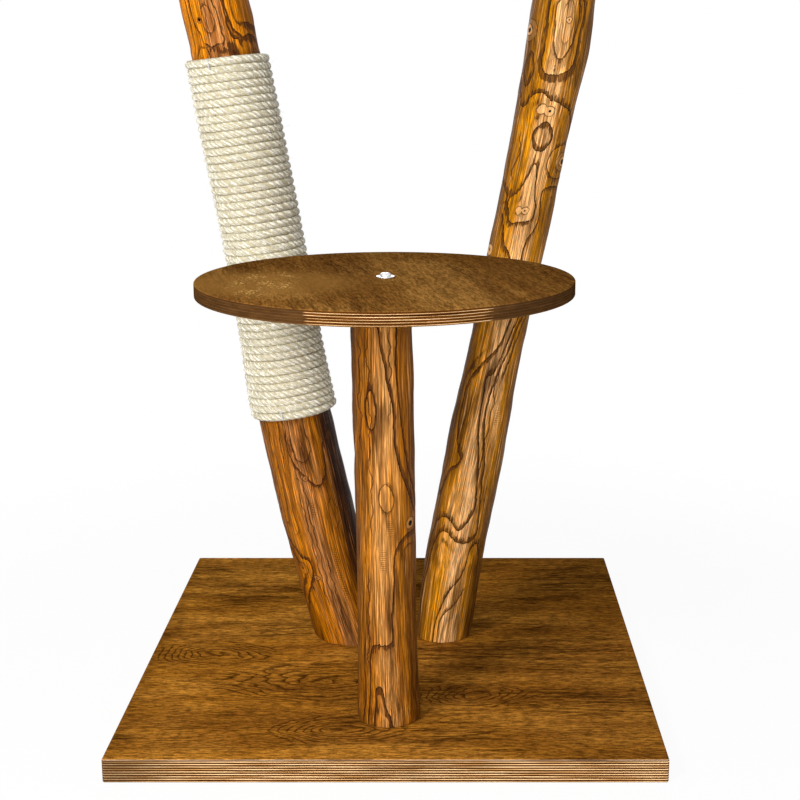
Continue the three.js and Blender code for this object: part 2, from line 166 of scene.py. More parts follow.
def new_material(name, roughness=0.5):
    """A material with nodes, its tree and its Principled shader."""
    material = bpy.data.materials.new(name)
    material.use_nodes = True
    shader = material.node_tree.nodes["Principled BSDF"]
    shader.inputs["Roughness"].default_value = roughness
    return material, material.node_tree, shader


def srgb(red, green, blue):
    """A colour picked on a screen, 0 to 255, as the linear colour that shaders want."""
    share = np.array([red, green, blue]) / 255
    linear = np.where(share <= 0.04045, share / 12.92, ((share + 0.055) / 1.055) ** 2.4)
    return (*linear.tolist(), 1.0)


print("a mid brown in linear light:", [round(part, 3) for part in srgb(130, 84, 31)])


# %% World
def seen_by(tree, rays):
    """1 where any of the named Light Path rays looks, else 0."""
    path = tree.nodes.new("ShaderNodeLightPath")
    total = path.outputs[rays[0]]
    for ray in rays[1:]:
        total = larger(tree, total, path.outputs[ray])
    return total


WORLD_LIGHT = 0.15
PAPER_RAYS = ("Is Camera Ray", "Is Glossy Ray", "Is Transmission Ray")
world = bpy.data.worlds.new("white_room")
scene.world = world
world.use_nodes = True
world_tree = world.node_tree
ambient = world_tree.nodes["Background"]
ambient.inputs["Color"].default_value = (0.93, 0.96, 1.0, 1)
ambient.inputs["Strength"].default_value = WORLD_LIGHT
paper = wire(world_tree, "Background", {"Color": (1, 1, 1, 1)})
paper_seen = seen_by(world_tree, PAPER_RAYS)
world_look = wire(world_tree, "MixShader", [paper_seen, ambient.outputs[0], paper])
world_tree.links.new(world_look, world_tree.nodes["World Output"].inputs["Surface"])
print("world light:", WORLD_LIGHT)


# %% Lamps
def soft_lamp(name, place, target, size, watts, colour):
    """A square area lamp at a place, facing a target."""
    data = bpy.data.lights.new(name, "AREA")
    data.size = size
    data.energy = watts
    data.color = colour
    lamp = bpy.data.objects.new(name, data)
    lamp.location = place
    aim = np.subtract(target, place)
    level = np.hypot(aim[0], aim[1])
    lamp.rotation_euler = (np.arctan2(level, -aim[2]), 0, np.arctan2(-aim[0], aim[1]))
    scene.collection.objects.link(lamp)
    return lamp


LAMP_TARGET = (0, -0.05, 0.4)
soft_lamp("key_lamp", (-1.10, -1.55, 1.55), LAMP_TARGET, 0.6, 40, (1, 0.97, 0.92))
soft_lamp("front_lamp", (0.10, -2.10, 0.90), LAMP_TARGET, 0.5, 24, (1, 0.98, 0.95))
soft_lamp("fill_lamp", (1.6, -1.2, 1.0), LAMP_TARGET, 1.4, 6, (0.95, 0.97, 1))
soft_lamp("back_lamp", (-0.5, 1.9, 1.2), LAMP_TARGET, 1.2, 9, (0.97, 0.98, 1))

# %% [markdown]
# ## Meshes from grids
#
# Every new piece here is a surface over a grid of points: rows go along it and columns go around
# it. One helper turns such a grid into a mesh, and can close it around, end to end, or with a fan
# of triangles at each end.

# %% From a grid of points to an object
def grid_mesh(name, points, around=True, looped=False, first_cap=False, last_cap=False):
    """A smooth mesh over an array of (rows, columns, 3) points.

    Each quad takes two neighbours on one row and the two above them. around joins the last column
    to the first, looped joins the last row to the first, and a cap is a fan of triangles to the
    middle of its row.
    """
    rows, columns = points.shape[:2]
    index = np.arange(rows * columns).reshape(rows, columns)
    if looped:
        index = np.vstack([index, index[:1]])
    if around:
        index = np.hstack([index, index[:, :1]])
    quads = np.stack([index[:-1, :-1], index[:-1, 1:], index[1:, 1:], index[1:, :-1]], axis=-1)
    faces = quads.reshape(-1, 4).tolist()
    vertices = [points.reshape(-1, 3)]
    for row, wanted in ((0, first_cap), (-1, last_cap)):
        if wanted:
            middle = rows * columns + len(vertices) - 1
            vertices.append(points[row].mean(axis=0)[None])
            ends = (index[row, :-1], index[row, 1:])
            pair = ends[::-1] if row == 0 else ends
            fan = np.stack([*pair, np.full(len(pair[0]), middle)], axis=-1)
            faces += fan.tolist()
    mesh = bpy.data.meshes.new(name)
    mesh.from_pydata(np.vstack(vertices).tolist(), [], faces)
    mesh.shade_smooth()
    return mesh


def add_object(name, mesh, *materials):
    """A new object at the origin, unturned, that shows the mesh in its materials."""
    piece = bpy.data.objects.new(name, mesh)
    scene.collection.objects.link(piece)
    for material in materials:
        mesh.materials.append(material)
    return piece


def finish_piece(piece, slot, *nodes):
    """The piece rides on the post's one body and stands for nodes; slot is not used."""
    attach(piece, "root")
    if nodes:
        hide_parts(*nodes)
    print(piece.name, "has", len(piece.data.polygons), "faces")


def per_vertex(mesh, name, values, kind="FLOAT"):
    """Stores one number, or one vector, per vertex for the shader to read; caps get their row's."""
    attribute = mesh.attributes.new(name, kind, "POINT")
    width = 1 if kind == "FLOAT" else 3
    flat = np.asarray(values, np.float32).reshape(-1, width)
    spare = len(mesh.vertices) - len(flat)
    if spare:
        flat = np.vstack([flat, np.repeat(flat[-1:], spare, axis=0)])
    attribute.data.foreach_set("value" if width == 1 else "vector", flat.ravel())


def corner_vertices(mesh):
    """The vertex at each corner of each face."""
    vertices = np.empty(len(mesh.loops), np.int32)
    mesh.loops.foreach_get("vertex_index", vertices)
    return vertices


def write_uv(mesh, coordinates):
    """Gives a mesh a UV map with these coordinates, one row per corner."""
    uv = mesh.uv_layers.new(name="UVMap")
    uv.data.foreach_set("uv", coordinates.astype(np.float32).ravel())


# %% Floor
FLOOR_REACH = 6.0
FLOOR_WHITE_SHARE = 0.94  # how much of the floor's look near the board is plain paper white
FLOOR_FADE_FROM, FLOOR_FADE_TO = 0.42, 1.1  # metres from the middle over which the rest goes white

floor_x, floor_y = np.meshgrid([-FLOOR_REACH, FLOOR_REACH], [-FLOOR_REACH, FLOOR_REACH])
floor_points = np.stack([floor_x, floor_y, np.zeros_like(floor_x)], axis=-1)
floor_paper, floor_tree, floor_shader = new_material("floor_paper", 0.9)
floor_shader.inputs["Base Color"].default_value = (0.86, 0.86, 0.86, 1)
floor_white = wire(floor_tree, "Emission")
floor_place = wire(floor_tree, "TexCoord", out=3)
floor_far = wire(floor_tree, "VectorMath", [floor_place], out=1, operation="LENGTH")
floor_share = ramp(floor_tree, floor_far, FLOOR_FADE_FROM, FLOOR_FADE_TO, FLOOR_WHITE_SHARE, 1.0)
floor_rays = seen_by(floor_tree, PAPER_RAYS)
floor_seen = times(floor_tree, floor_rays, floor_share)
floor_look = wire(floor_tree, "MixShader", [floor_seen, floor_shader.outputs[0], floor_white])
floor_tree.links.new(floor_look, floor_tree.nodes["Material Output"].inputs["Surface"])
floor = add_object("floor", grid_mesh("floor", floor_points, around=False), floor_paper)
print("floor reaches", FLOOR_REACH, "m each way")

# %% [markdown]
# ## The peeled logs
#
# A log that has been peeled by hand isn't quite round: the drawknife leaves long flats and the
# knots stay proud. Its pattern is the yearly rings, cut open wherever the surface dips or swells,
# so the dark lines are the contour lines of one slow field, which grows from the heart outwards.
# A shape along a path gives the first, and a field worked out for each vertex gives the second.

# %% The middle line of each log
LEAST_RING = 0.060  # anything narrower than this on one level is a drilled hole, not the log


def level_rings(node):
    """Rows of height, middle x and y, and half widths x and y of a packed log's rings.

    The two end rings are narrower there, because the sawn rims are rounded, so they take the half
    widths of their neighbours, and the skin's own rows round the rims.
    """
    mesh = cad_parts[node].data
    flat = np.empty(len(mesh.vertices) * 3, np.float32)
    mesh.vertices.foreach_get("co", flat)
    place = flat.reshape(-1, 3).astype(float)
    level = np.round(place[:, 2], 4)
    rings = []
    for height in np.unique(level):
        low, high = place[level == height].min(axis=0), place[level == height].max(axis=0)
        if high[1] - low[1] > LEAST_RING:
            rings.append([height, *(low + high)[:2] / 2, *(high - low)[:2] / 2])
    rings = np.array(rings)
    rings[0, 3:], rings[-1, 3:] = rings[1, 3:], rings[-2, 3:]
    return rings


def smooth_between(at, stations, values):
    """A cubic through the stations whose slope at each is the mean slope of its two sides."""
    slope = np.gradient(values, stations)
    index = np.clip(np.searchsorted(stations, at, side="right") - 1, 0, len(stations) - 2)
    span = stations[index + 1] - stations[index]
    share = (at - stations[index]) / span
    rise = share**2 * (3 - 2 * share)
    start_pull = share * (1 - share) ** 2 * span * slope[index]
    end_pull = share**2 * (share - 1) * span * slope[index + 1]
    return values[index] * (1 - rise) + values[index + 1] * rise + start_pull + end_pull


LOG_NODES = ("center_post", "left_post", "right_post")
log_rings = {node: level_rings(node) for node in LOG_NODES}
for node, rings in log_rings.items():
    print(node, "has", len(rings), "rings, feet", round(rings[0, 3] * 2000, 1), "mm across")


# %% Waves around a log
def waves(angle, height, seed, most_around, shortest, longest, count=36):
    """A smooth random field: the sum of cosines of (turns around + waves along + a start).

    angle has one value per column and height, in metres, one per row. Each cosine runs a whole
    number of times around, so the field meets itself at the back. The result has a spread of 1.
    """
    chance = np.random.default_rng(seed)
    around = chance.integers(0, most_around + 1, count)
    along = 2 * np.pi / chance.uniform(shortest, longest, count) * chance.choice([-1, 1], count)
    start = chance.uniform(0, 2 * np.pi, count)
    rows, columns = np.outer(height, along) + start, np.outer(around, angle)
    total = np.cos(rows) @ np.cos(columns) - np.sin(rows) @ np.sin(columns)
    return total / np.sqrt(count / 2)


# %% [markdown]
# The lines that the photograph shows are written down as a few points each, in millimetres to the
# right of the log's front line and above its foot. A line has a level, as on a map, and its left
# side, as one walks along it, is the higher one. The dark edge of the ring lies on its lower side.

# %% Ring lines on the fronts of the logs
# Each row: level, width of the dark edge in mm, then the line's points.
RING_LINES = {
    "center_post": [
        (1, 5, [(33, 257), (21, 285), (13, 320), (10, 370), (4, 400), (-3, 449), (-4, 480)]),
        (0, 4, [(42, 257), (30, 290), (23, 330), (18, 370), (16, 450), (16, 480)]),
        (2, 2, [(12, 262), (3, 282), (-6.5, 262), (4, 247), (12, 262)]),
        (2, 3, [(-6, 360), (-12, 386), (-19, 360), (-12, 336), (-6, 360)]),
        (1, 4, [(-22, 5), (-21, 25), (-19, 60), (-13, 95), (-1.5, 96), (5, 98), (6, 120), (10, 170),
                (12, 205), (23, 219), (42, 222)]),
        (0, 6, [(-17, 3), (-13, 30), (-9, 47), (-3, 28), (6, 3)]),
        (2, 1.5, [(-22, 100), (-21, 150), (-23, 207), (-26, 262), (-24, 320)]),
        (3, 2, [(-33, 60), (-34, 200), (-32, 300)]),
    ],
    "right_post": [
        (1, 8.5, [(-16, 790), (-15, 740), (-13, 712), (-3, 706), (8, 708), (19, 716), (21, 740),
                (20, 790), (14, 815), (2, 828), (-10, 815), (-16, 790)]),
        (2, 2.5, [(-9, 785), (-8, 760), (-3, 730), (3, 722), (10, 732), (17, 752), (17, 785),
                  (4, 806), (-9, 785)]),
        (3, 1.5,
         [(0, 785), (0, 760), (3, 742), (8, 741), (12, 755), (12, 775), (6, 792), (0, 785)]),
        (0, 6, [(-24, 712), (-33, 692), (-43, 712), (-33, 734), (-24, 712)]),
        (1, 4,
         [(52, 610), (45, 630), (41, 643), (30, 662), (23, 668), (8, 675), (0, 677), (-6, 685),
                (-16, 685), (-26, 676), (-30, 668), (-38, 674), (-46, 690), (-58, 700)]),
        (1, 5, [(15, 634), (9, 622), (1, 617), (-8, 622), (-13, 634), (-8, 645), (1, 652), (9, 646),
                (15, 634)]),
        (2, 3.5, [(-25, 538), (-16, 533), (-4, 534), (7, 535), (10, 548), (5, 568), (2, 593),
                  (-1.5, 604), (-5, 593), (-8, 585), (-16, 570), (-24, 565), (-39, 572),
                  (-50, 580)]),
        (1, 3, [(5, 480), (6, 510), (18, 533), (18, 570), (32, 575), (44, 572)]),
        (2, 2.5, [(13, 604), (20, 590), (38, 584), (54, 590), (60, 604), (52, 620), (38, 625),
                  (20, 620), (13, 604)]),
        (1, 5, [(-26, 540), (-25, 533), (-21, 510), (-8, 493), (-6, 480)]),
        (1, 5, [(-39, 202), (-29, 230), (-19, 236), (-25, 250), (-26, 347), (-9, 370), (0, 382),
                (8, 419), (11, 440), (13, 465)]),
        (1, 4,
         [(24, 450), (23, 430), (15, 398), (7, 365), (1, 347), (-5, 349), (-5, 330), (-3, 300),
                (0, 270), (6, 237), (6, 162), (-4, 150), (-16, 162), (-24, 166), (-36, 155),
                (-41, 100), (-49, 62)]),
        (2, 4, [(30, 450), (28, 430), (20, 398), (14, 370), (5, 335), (2, 300), (7, 265), (13, 237),
                (15, 200), (12, 135), (-4, 135), (-16, 146), (-24, 146), (-31, 135), (-39, 87),
                (-44, 50)]),
        (3, 3, [(40, 5), (38, 20), (36, 60), (31, 105), (21, 132), (15, 122), (14, 100), (10, 88),
                (-5, 62), (-11, 37), (-13, 5)]),
        (4, 2.5, [(13, 62), (2, 45), (-5, 38), (-9, 20), (-8, 5)]),
    ],
    "left_post": [
        (1, 3,
         [(-9, 290), (-8, 262), (-5, 232), (3, 222), (6, 217), (14, 209), (22, 216), (28, 232),
                (29, 255), (36, 267), (46, 270)]),
        (2, 2, [(-5, 290), (-5, 245), (2, 238), (10, 245), (13, 290)]),
        (1, 1.5, [(31.5, 173), (25, 194), (19, 173), (25, 152), (31.5, 173)]),
        (1, 4, [(-42, 50), (-30, 72), (-22, 84), (-17, 103), (-20, 113), (-27, 112), (-31, 117),
                (-40, 128), (-54, 140)]),
        (1, 2, [(-20, 150), (-22, 180), (-20, 230), (-17, 290)]),
        (2, 2, [(-31, 160), (-29, 220), (-33, 290)]),
        (3, 2, [(-41, 175), (-41, 240), (-45, 290)]),
        (1, 4, [(50, 262), (46, 200), (38, 135), (35, 90), (33, 30)]),
        (1, 3, [(-28, 790), (-27, 765), (-22, 752), (-17, 742), (-4, 740), (4, 745), (7, 762),
                (4, 785), (-4, 800), (-18, 806), (-28, 790)]),
        (2, 2, [(-14, 765), (-12, 756), (-4, 754), (1, 764), (0, 778), (-6, 786), (-13, 780),
                (-14, 765)]),
        (1, 2, [(7, 800), (9, 770), (6, 750), (-2, 738), (-30, 734), (-34, 720)]),
        (0, 6, [(20, 800), (19, 775), (23, 757), (30, 752), (44, 753), (60, 748)]),
        (1, 4, [(-14, 720), (-12, 733), (0, 734), (16, 732), (20, 725)]),
    ],
}
for node, lines in RING_LINES.items():
    print(node, "has", len(lines), "lines from the photograph")

# %% [markdown]
# The field has to pass through those levels and be smooth between them. Each line is cut into
# short steps, with a point a little higher on its left and a little lower on its right, and a sum
# of round hills, one over each point, is solved so that it meets them all. Away from the lines,
# at the sides and the back of the log, waves and a few swellings make rings of their own.

# %% A growth field through the lines
LINE_STEP = 6.0  # mm between the points taken along a line
HIGH_STEP, HIGH_LEVEL = 2.2, 0.22  # mm to a line's companion on its high side, and its extra level
LOW_LEVEL = 0.5  # how much lower the field is where the dark edge ends
HILL_REACH = 55.0  # mm over which one point's hill fades
HILL_EASE = 0.004  # how far the hills may miss a level, so that close points don't fight
GRAIN_STRETCH = 0.55  # the field is this much slower along the log than around it
SHOWN_FROM, SHOWN_TO = 5.5, 9.5  # mm from a line within which its edge shows fully, and fades
WIDE_EDGE, THIN_EDGE_FORCE, FREE_FORCE = 4.5, 0.3, 0.55  # mm, and how strongly edges show
FREE_EDGE = 2.5  # mm, how wide the dark edges are away from the drawn lines
FREE_FROM, FREE_TO = 16.0, 50.0  # mm from the lines at which the waves begin and are full
# Places with no line near them, as level, mm right of the front line and mm above the foot.
CALM_SPOTS = {
    "center_post": [(0.5, 22, 30), (0.5, 24, 100), (0.5, 26, 160), (1.5, -8, 150), (1.5, -8, 215),
                    (1.5, 12, 235), (1.5, -10, 310), (1.5, -8, 430), (2.5, -28, 30),
                    (-0.5, 32, 400),
                    (0.5, -3, 70)],
    "right_post": [(1.5, -38, 615), (1.5, -34, 645), (1.5, 28, 650), (1.5, -20, 605),
                   (0.5, 35, 700),
                   (0.5, 30, 760), (0.5, -28, 740), (0.5, 30, 540), (0.5, 25, 500), (0.5, -34, 520),
                   (2.5, 28, 300), (2.5, 30, 220), (2.5, 28, 160), (2.5, -20, 90), (2.5, 0, 110),
                   (0.5, -12, 300), (0.5, -10, 200), (1.5, -10, 400), (1.5, -25, 420),
                   (1.5, 10, 610)],
    "left_post": [(0.5, 8, 170), (0.5, 10, 120), (0.5, 5, 60), (0.5, -8, 180), (0.5, -10, 60),
                  (0.5, 40, 290), (0.5, 10, 20), (0.5, 18, 245)],
}


def line_points(lines, spots):
    """Points and levels along all lines, with companions at both sides, and at the calm spots.

    The last array holds the width of the dark edge for points on a line itself, and 0 elsewhere.
    """
    places, levels, edges = [], [], []
    for level, width, points in lines:
        corner = np.array(points, float)
        run = np.concatenate([[0], np.cumsum(np.hypot(*np.diff(corner, axis=0).T))])
        at = np.linspace(0, run[-1], max(int(run[-1] / LINE_STEP), 3) + 1)
        line = np.stack([smooth_between(at, run, corner[:, axis]) for axis in (0, 1)], axis=-1)
        along = np.gradient(line, axis=0)
        left = np.stack([-along[:, 1], along[:, 0]], axis=-1)
        left /= np.linalg.norm(left, axis=1, keepdims=True)
        for side, rise in ((-width, -LOW_LEVEL), (0, 0), (HIGH_STEP, HIGH_LEVEL)):
            places.append(line + side * left)
            levels.append(np.full(len(line), level + rise))
            edges.append(np.full(len(line), float(width) * (side == 0)))
    spots = np.array(spots, float)
    edges.append(np.zeros(len(spots)))
    return (np.vstack([*places, spots[:, 1:]]), np.concatenate([*levels, spots[:, 0]]),
            np.concatenate(edges))


def straightened(across, height, radius):
    """Places on the log as if it stood straight: front towards -y, heights squeezed, in mm."""
    turn = across / radius - np.pi / 2
    return np.stack([radius * np.cos(turn), radius * np.sin(turn), height * GRAIN_STRETCH], axis=-1)


def hill(distance):
    """A round hill of height 1: (1 + x) times e to the -x, with x the distance in reaches."""
    share = distance * np.sqrt(3) / HILL_REACH
    return (1 + share) * np.exp(-share)


def growth_field(node, angle, height, radius):
    """Growth on a grid of angles and heights (in mm), how free it is, and two things of its edges.

    The edges' two are how far they show and how wide they are, in mm. Near the drawn lines growth
    is the sum of hills that meets them. Further away, where free goes from 0 to 1, the caller adds
    waves and a bell around each knot. Ring edges show close to a drawn line, more so at a line
    with a wide edge, and in the free parts, and stay faint between the drawn lines.
    """
    places, levels, edges = line_points(RING_LINES[node], CALM_SPOTS[node])
    known = straightened(places[:, 0], places[:, 1], radius)
    apart = np.linalg.norm(known[:, None] - known[None], axis=-1)
    middle = levels.mean()
    hills = np.linalg.solve(hill(apart) + HILL_EASE * np.eye(len(known)), levels - middle)
    on_line = edges > 0
    edge_force = np.clip(edges[on_line] / WIDE_EDGE, THIN_EDGE_FORCE, 1)
    growth = np.empty((len(height), len(angle)))
    nearest, close, edge = (np.empty_like(growth) for _ in range(3))
    across = (angle + np.pi / 2) * radius
    for row, level in enumerate(height):
        place = straightened(across, np.full_like(across, level), radius)
        distance = np.linalg.norm(place[:, None] - known[None], axis=-1)
        growth[row] = middle + hill(distance) @ hills
        nearest[row] = distance.min(axis=1)
        to_line = distance[:, on_line]
        closest = to_line.argmin(axis=1)
        close[row] = np.clip((SHOWN_TO - to_line.min(axis=1)) / (SHOWN_TO - SHOWN_FROM), 0, 1)
        close[row] *= edge_force[closest]
        edge[row] = edges[on_line][closest]
    free = np.clip((nearest - FREE_FROM) / (FREE_TO - FREE_FROM), 0, 1)
    free = free**2 * (3 - 2 * free)
    edge += (FREE_EDGE - edge) * free
    return growth, free, np.maximum(close, free * FREE_FORCE), edge


right_points = line_points(RING_LINES["right_post"], CALM_SPOTS["right_post"])[0]
print("line points on the right log:", len(right_points))

# %% Knots
# Each row: mm right of the front line, mm above the foot, size, hole radius, and the shift in mm
# to a second lobe, or nothing where the knot is a plain one.
KNOTS = {
    "center_post": [(32, 232, 6.5, 3.0, None)],
    "right_post": [
        (-41, 757, 13, 2.6, None), (-42, 757, 7, 2.6, None), (38, 604, 11, 3.0, None),
        (39, 604, 6.5, 3.0, None), (3.5, 664, 6.2, 1.4, (-10, 2.5)),
        (-2.5, 547.5, 4.4, 1.0, (-8, 0)), (7, 768, 3.5, 0.8, None), (-44, 498, 7, 1.6, None),
    ],
    "left_post": [
        (1.5, 219, 3.0, 0.6, None), (-30, 99.5, 8, 1.3, None),
        (-14, 89.5, 3.4, 0.8, None), (-18, 768, 3.2, 1.9, None),
    ],
}
BACK_KNOTS = {"center_post": 4, "right_post": 7, "left_post": 5}
KNOT_SEEDS = {"center_post": 3, "right_post": 5, "left_post": 11}


def all_knots(node, top, half_around):
    """The knots read from the photograph and some more, spread by chance over the unseen back."""
    knots = list(KNOTS[node])
    chance = np.random.default_rng(KNOT_SEEDS[node])
    for step in range(BACK_KNOTS[node]):
        height = top * (step + chance.uniform(0.25, 0.75)) / BACK_KNOTS[node]
        across = half_around + chance.uniform(-0.42, 0.42) * half_around
        size = chance.uniform(5, 11)
        knots.append((across, height, size, size * chance.uniform(0.15, 0.3), None))
    return knots


print("knots seen:", {node: len(knots) for node, knots in KNOTS.items()})

# %% The log's surface
LOG_COLUMNS = 176
ROW_SPACING = 0.0023
RIM_ROUND = 0.0015
RIM_ROWS = np.array([0.0, 0.0002, 0.0006, 0.0011])  # extra rows over a rounded rim, from its end
CAP_SHARES = (0.985, 0.95, 0.8, 0.55, 0.3, 0.1)
UNEVEN = {"center_post": 0.0006, "left_post": 0.0008, "right_post": 0.0008}
WIGGLE = {"center_post": 0.02, "left_post": 0.05, "right_post": 0.02}
LOG_SEEDS = {"center_post": 21, "left_post": 22, "right_post": 23}
WRAP_FROM, WRAP_TO = 0.285, 0.737  # heights above the foot that the rope hides, metres
WRAP_BLEND = 0.006  # over which the skin goes from its own form to the plain one under the rope
WRAP_SINK = 0.0001  # how far the skin lies back under the rope
KNOT_SWELL = 0.0011  # how far a knot of 10 mm stands proud
GROOVE_DEPTH, GROOVE_SHARE = 0.00022, 0.12  # of the knife's groove, and its half width in levels


def log_frame(node, height):
    """Middle x, y and half widths x, y of a log at heights above the floor."""
    rings = log_rings[node]
    return [smooth_between(height, rings[:, 0], rings[:, column]) for column in (1, 2, 3, 4)]


def log_grid(node):
    """Points of the log's skin and, at each, its straightened place and its growth field's values.

    A point is the middle line at its height plus the half widths along the cosine and sine of its
    angle. The half widths swell by slow waves, by a bell of 1 mm at each knot, and they shrink by a
    little along each ring line, where the drawknife has cut deepest.
    """
    rings = log_rings[node]
    foot, top = rings[0, 0], rings[-1, 0]
    side = np.linspace(foot + RIM_ROUND * 1.2, top - RIM_ROUND * 1.2,
                       int((top - foot) / ROW_SPACING))
    height = np.concatenate([foot + RIM_ROWS, side, top - RIM_ROWS[::-1]])
    angle = -np.pi / 2 + np.linspace(-np.pi, np.pi, LOG_COLUMNS, endpoint=False)
    middle_x, middle_y, half_x, half_y = (part[:, None] for part in log_frame(node, height))
    radius = half_y.mean() * 1000
    up = (height - foot) * 1000
    growth, free, shown, edge = growth_field(node, angle, up, radius)
    seed = LOG_SEEDS[node]
    growth += free * 1.0 * waves(angle, up, seed, 4, 200, 900)
    growth += (0.03 + 0.04 * free) * waves(angle, up, seed + 50, 9, 30, 140)
    growth += WIGGLE[node] * waves(angle, up, seed + 60, 14, 10, 45)
    swell = UNEVEN[node] * waves(angle, height - foot, seed + 70, 3, 0.16, 0.6)
    swell += 0.0002 * waves(angle, height - foot, seed + 80, 9, 0.03, 0.12)
    for across, level, size, *_ in all_knots(node, (top - foot) * 1000, np.pi * radius):
        turn = angle + np.pi / 2 - across / radius
        around = radius * np.angle(np.exp(1j * turn))
        bell = np.exp(-(around[None] ** 2 + ((up - level)[:, None] * 0.7) ** 2) / (1.3 * size) ** 2)
        swell += KNOT_SWELL * bell * size / 10
        growth += free * 2.2 * bell
    if node == "left_post":
        within = np.minimum(up / 1000 - WRAP_FROM, WRAP_TO - up / 1000)[:, None]
        hidden = np.clip(within / WRAP_BLEND, 0, 1)
        swell = swell * (1 - hidden) - WRAP_SINK * hidden
    groove = np.abs(growth - np.round(growth))
    swell -= GROOVE_DEPTH * np.exp(-((groove / GROOVE_SHARE) ** 2))
    from_end = np.clip(np.minimum(height - foot, top - height), 0, RIM_ROUND)[:, None]
    swell -= RIM_ROUND - np.sqrt(RIM_ROUND**2 - (RIM_ROUND - from_end) ** 2)
    x = middle_x + (half_x + swell) * np.cos(angle)
    y = middle_y + (half_y + swell) * np.sin(angle)
    points = np.stack([x, y, np.broadcast_to(height[:, None], x.shape)], axis=-1)
    round_angle = np.broadcast_to(angle, x.shape)
    place = [half_y * np.cos(round_angle), half_y * np.sin(round_angle), x * 0 + up[:, None] / 1000]
    return points, np.stack(place, axis=-1), growth, shown, edge


def with_caps(grid):
    """Adds rows over both sawn ends: copies of the end rows, drawn in towards their middles."""
    first, last = grid[:1], grid[-1:]
    low_middle, high_middle = first.mean(axis=1, keepdims=True), last.mean(axis=1, keepdims=True)
    low = [low_middle + (first - low_middle) * share for share in CAP_SHARES[::-1]]
    high = [high_middle + (last - high_middle) * share for share in CAP_SHARES]
    return np.concatenate([*low, grid, *high])


def log_mesh(node):
    """The log as one closed mesh that carries its growth field and its straightened places."""
    points, place, growth, shown, edge = log_grid(node)
    spacing_around = 2 * np.pi * np.abs(place[0, :, :2]).max() * 1000 / LOG_COLUMNS
    wrapped = np.hstack([growth[:, -1:], growth, growth[:, :1]])
    rise = np.abs(np.gradient(growth, place[:, 0, 2] * 1000, axis=0))
    steep = np.hypot(rise, np.gradient(wrapped, spacing_around, axis=1)[:, 1:-1])
    mesh = grid_mesh(node + "_skin", with_caps(points), first_cap=True, last_cap=True)
    per_vertex(mesh, "straight", with_caps(place), "FLOAT_VECTOR")
    sawn = np.ones(points.shape[:2])
    sawn[1:-1] = 0
    fields = {"growth": growth, "steep": steep, "rise": rise, "shown": shown, "edge": edge,
              "sawn": sawn}
    for name, values in fields.items():
        per_vertex(mesh, name, with_caps(values[..., None]))
    corner = corner_vertices(mesh)
    flat = with_caps(place).reshape(-1, 3)
    flat = np.vstack([flat, np.zeros((len(mesh.vertices) - len(flat), 3))])
    around = np.arctan2(flat[:, 1], flat[:, 0])[corner] * 0.04
    write_uv(mesh, np.stack([around, flat[corner, 2]], axis=-1))
    return mesh


log_meshes = {node: log_mesh(node) for node in LOG_NODES}
for node, mesh in log_meshes.items():
    print(node, "skin has", len(mesh.vertices), "vertices")

# %% [markdown]
# ## Wood that has been scorched, brushed and oiled
#
# The shader cuts the growth field into rings: a ring begins pale, grows darker and ends in an
# abrupt dark edge. How far a point is from that edge is what is left of its ring divided by how
# steep the field is, so the edge has a width in millimetres. Fibres, knots and streaks come on top.

# %% A shared group: long wood fibres
def new_group(name, inputs, outputs):
    """An empty shader node group with named sockets, and its two end nodes."""
    tree = bpy.data.node_groups.new(name, "ShaderNodeTree")
    for socket, kind in inputs:
        tree.interface.new_socket(socket, in_out="INPUT", socket_type="NodeSocket" + kind)
    for socket, kind in outputs:
        tree.interface.new_socket(socket, in_out="OUTPUT", socket_type="NodeSocket" + kind)
    return tree, tree.nodes.new("NodeGroupInput"), tree.nodes.new("NodeGroupOutput")


def give(tree, end, **values):
    """Plugs a group's results into its end node."""
    for name, value in values.items():
        tree.links.new(value, end.inputs[name])


def stretched_noise(tree, vector, scale, detail=3.0, rough=0.55):
    """Noise over a place whose three axes are first scaled by hand, so that it can be stretched."""
    scaled = wire(tree, "VectorMath", [vector, scale], operation="MULTIPLY")
    inputs = {"Vector": scaled, "Scale": 1.0, "Detail": detail, "Roughness": rough}
    return wire(tree, "TexNoise", inputs)


fibres, fibres_in, fibres_out = new_group(
    "wood_fibres",
    [("Place", "Vector"), ("Fine", "Vector"), ("Broad", "Vector")],
    [("Fine", "Float"), ("Broad", "Float"), ("Pores", "Float")],
)
place_in = fibres_in.outputs["Place"]
fine_scale, broad_scale = fibres_in.outputs["Fine"], fibres_in.outputs["Broad"]
fine_noise = stretched_noise(fibres, place_in, fine_scale, 4.0, 0.6)
broad_noise = stretched_noise(fibres, place_in, broad_scale, 3.0)
pore_place = wire(fibres, "VectorMath", [fine_scale, (2.1, 2.1, 2.1)], operation="MULTIPLY")
pore_noise = stretched_noise(fibres, place_in, pore_place, 1.0)
pores = ramp(fibres, pore_noise, 0.60, 0.68)
give(fibres, fibres_out, Fine=fine_noise, Broad=broad_noise, Pores=pores)
print("group:", fibres.name, [socket.name for socket in fibres.interface.items_tree])

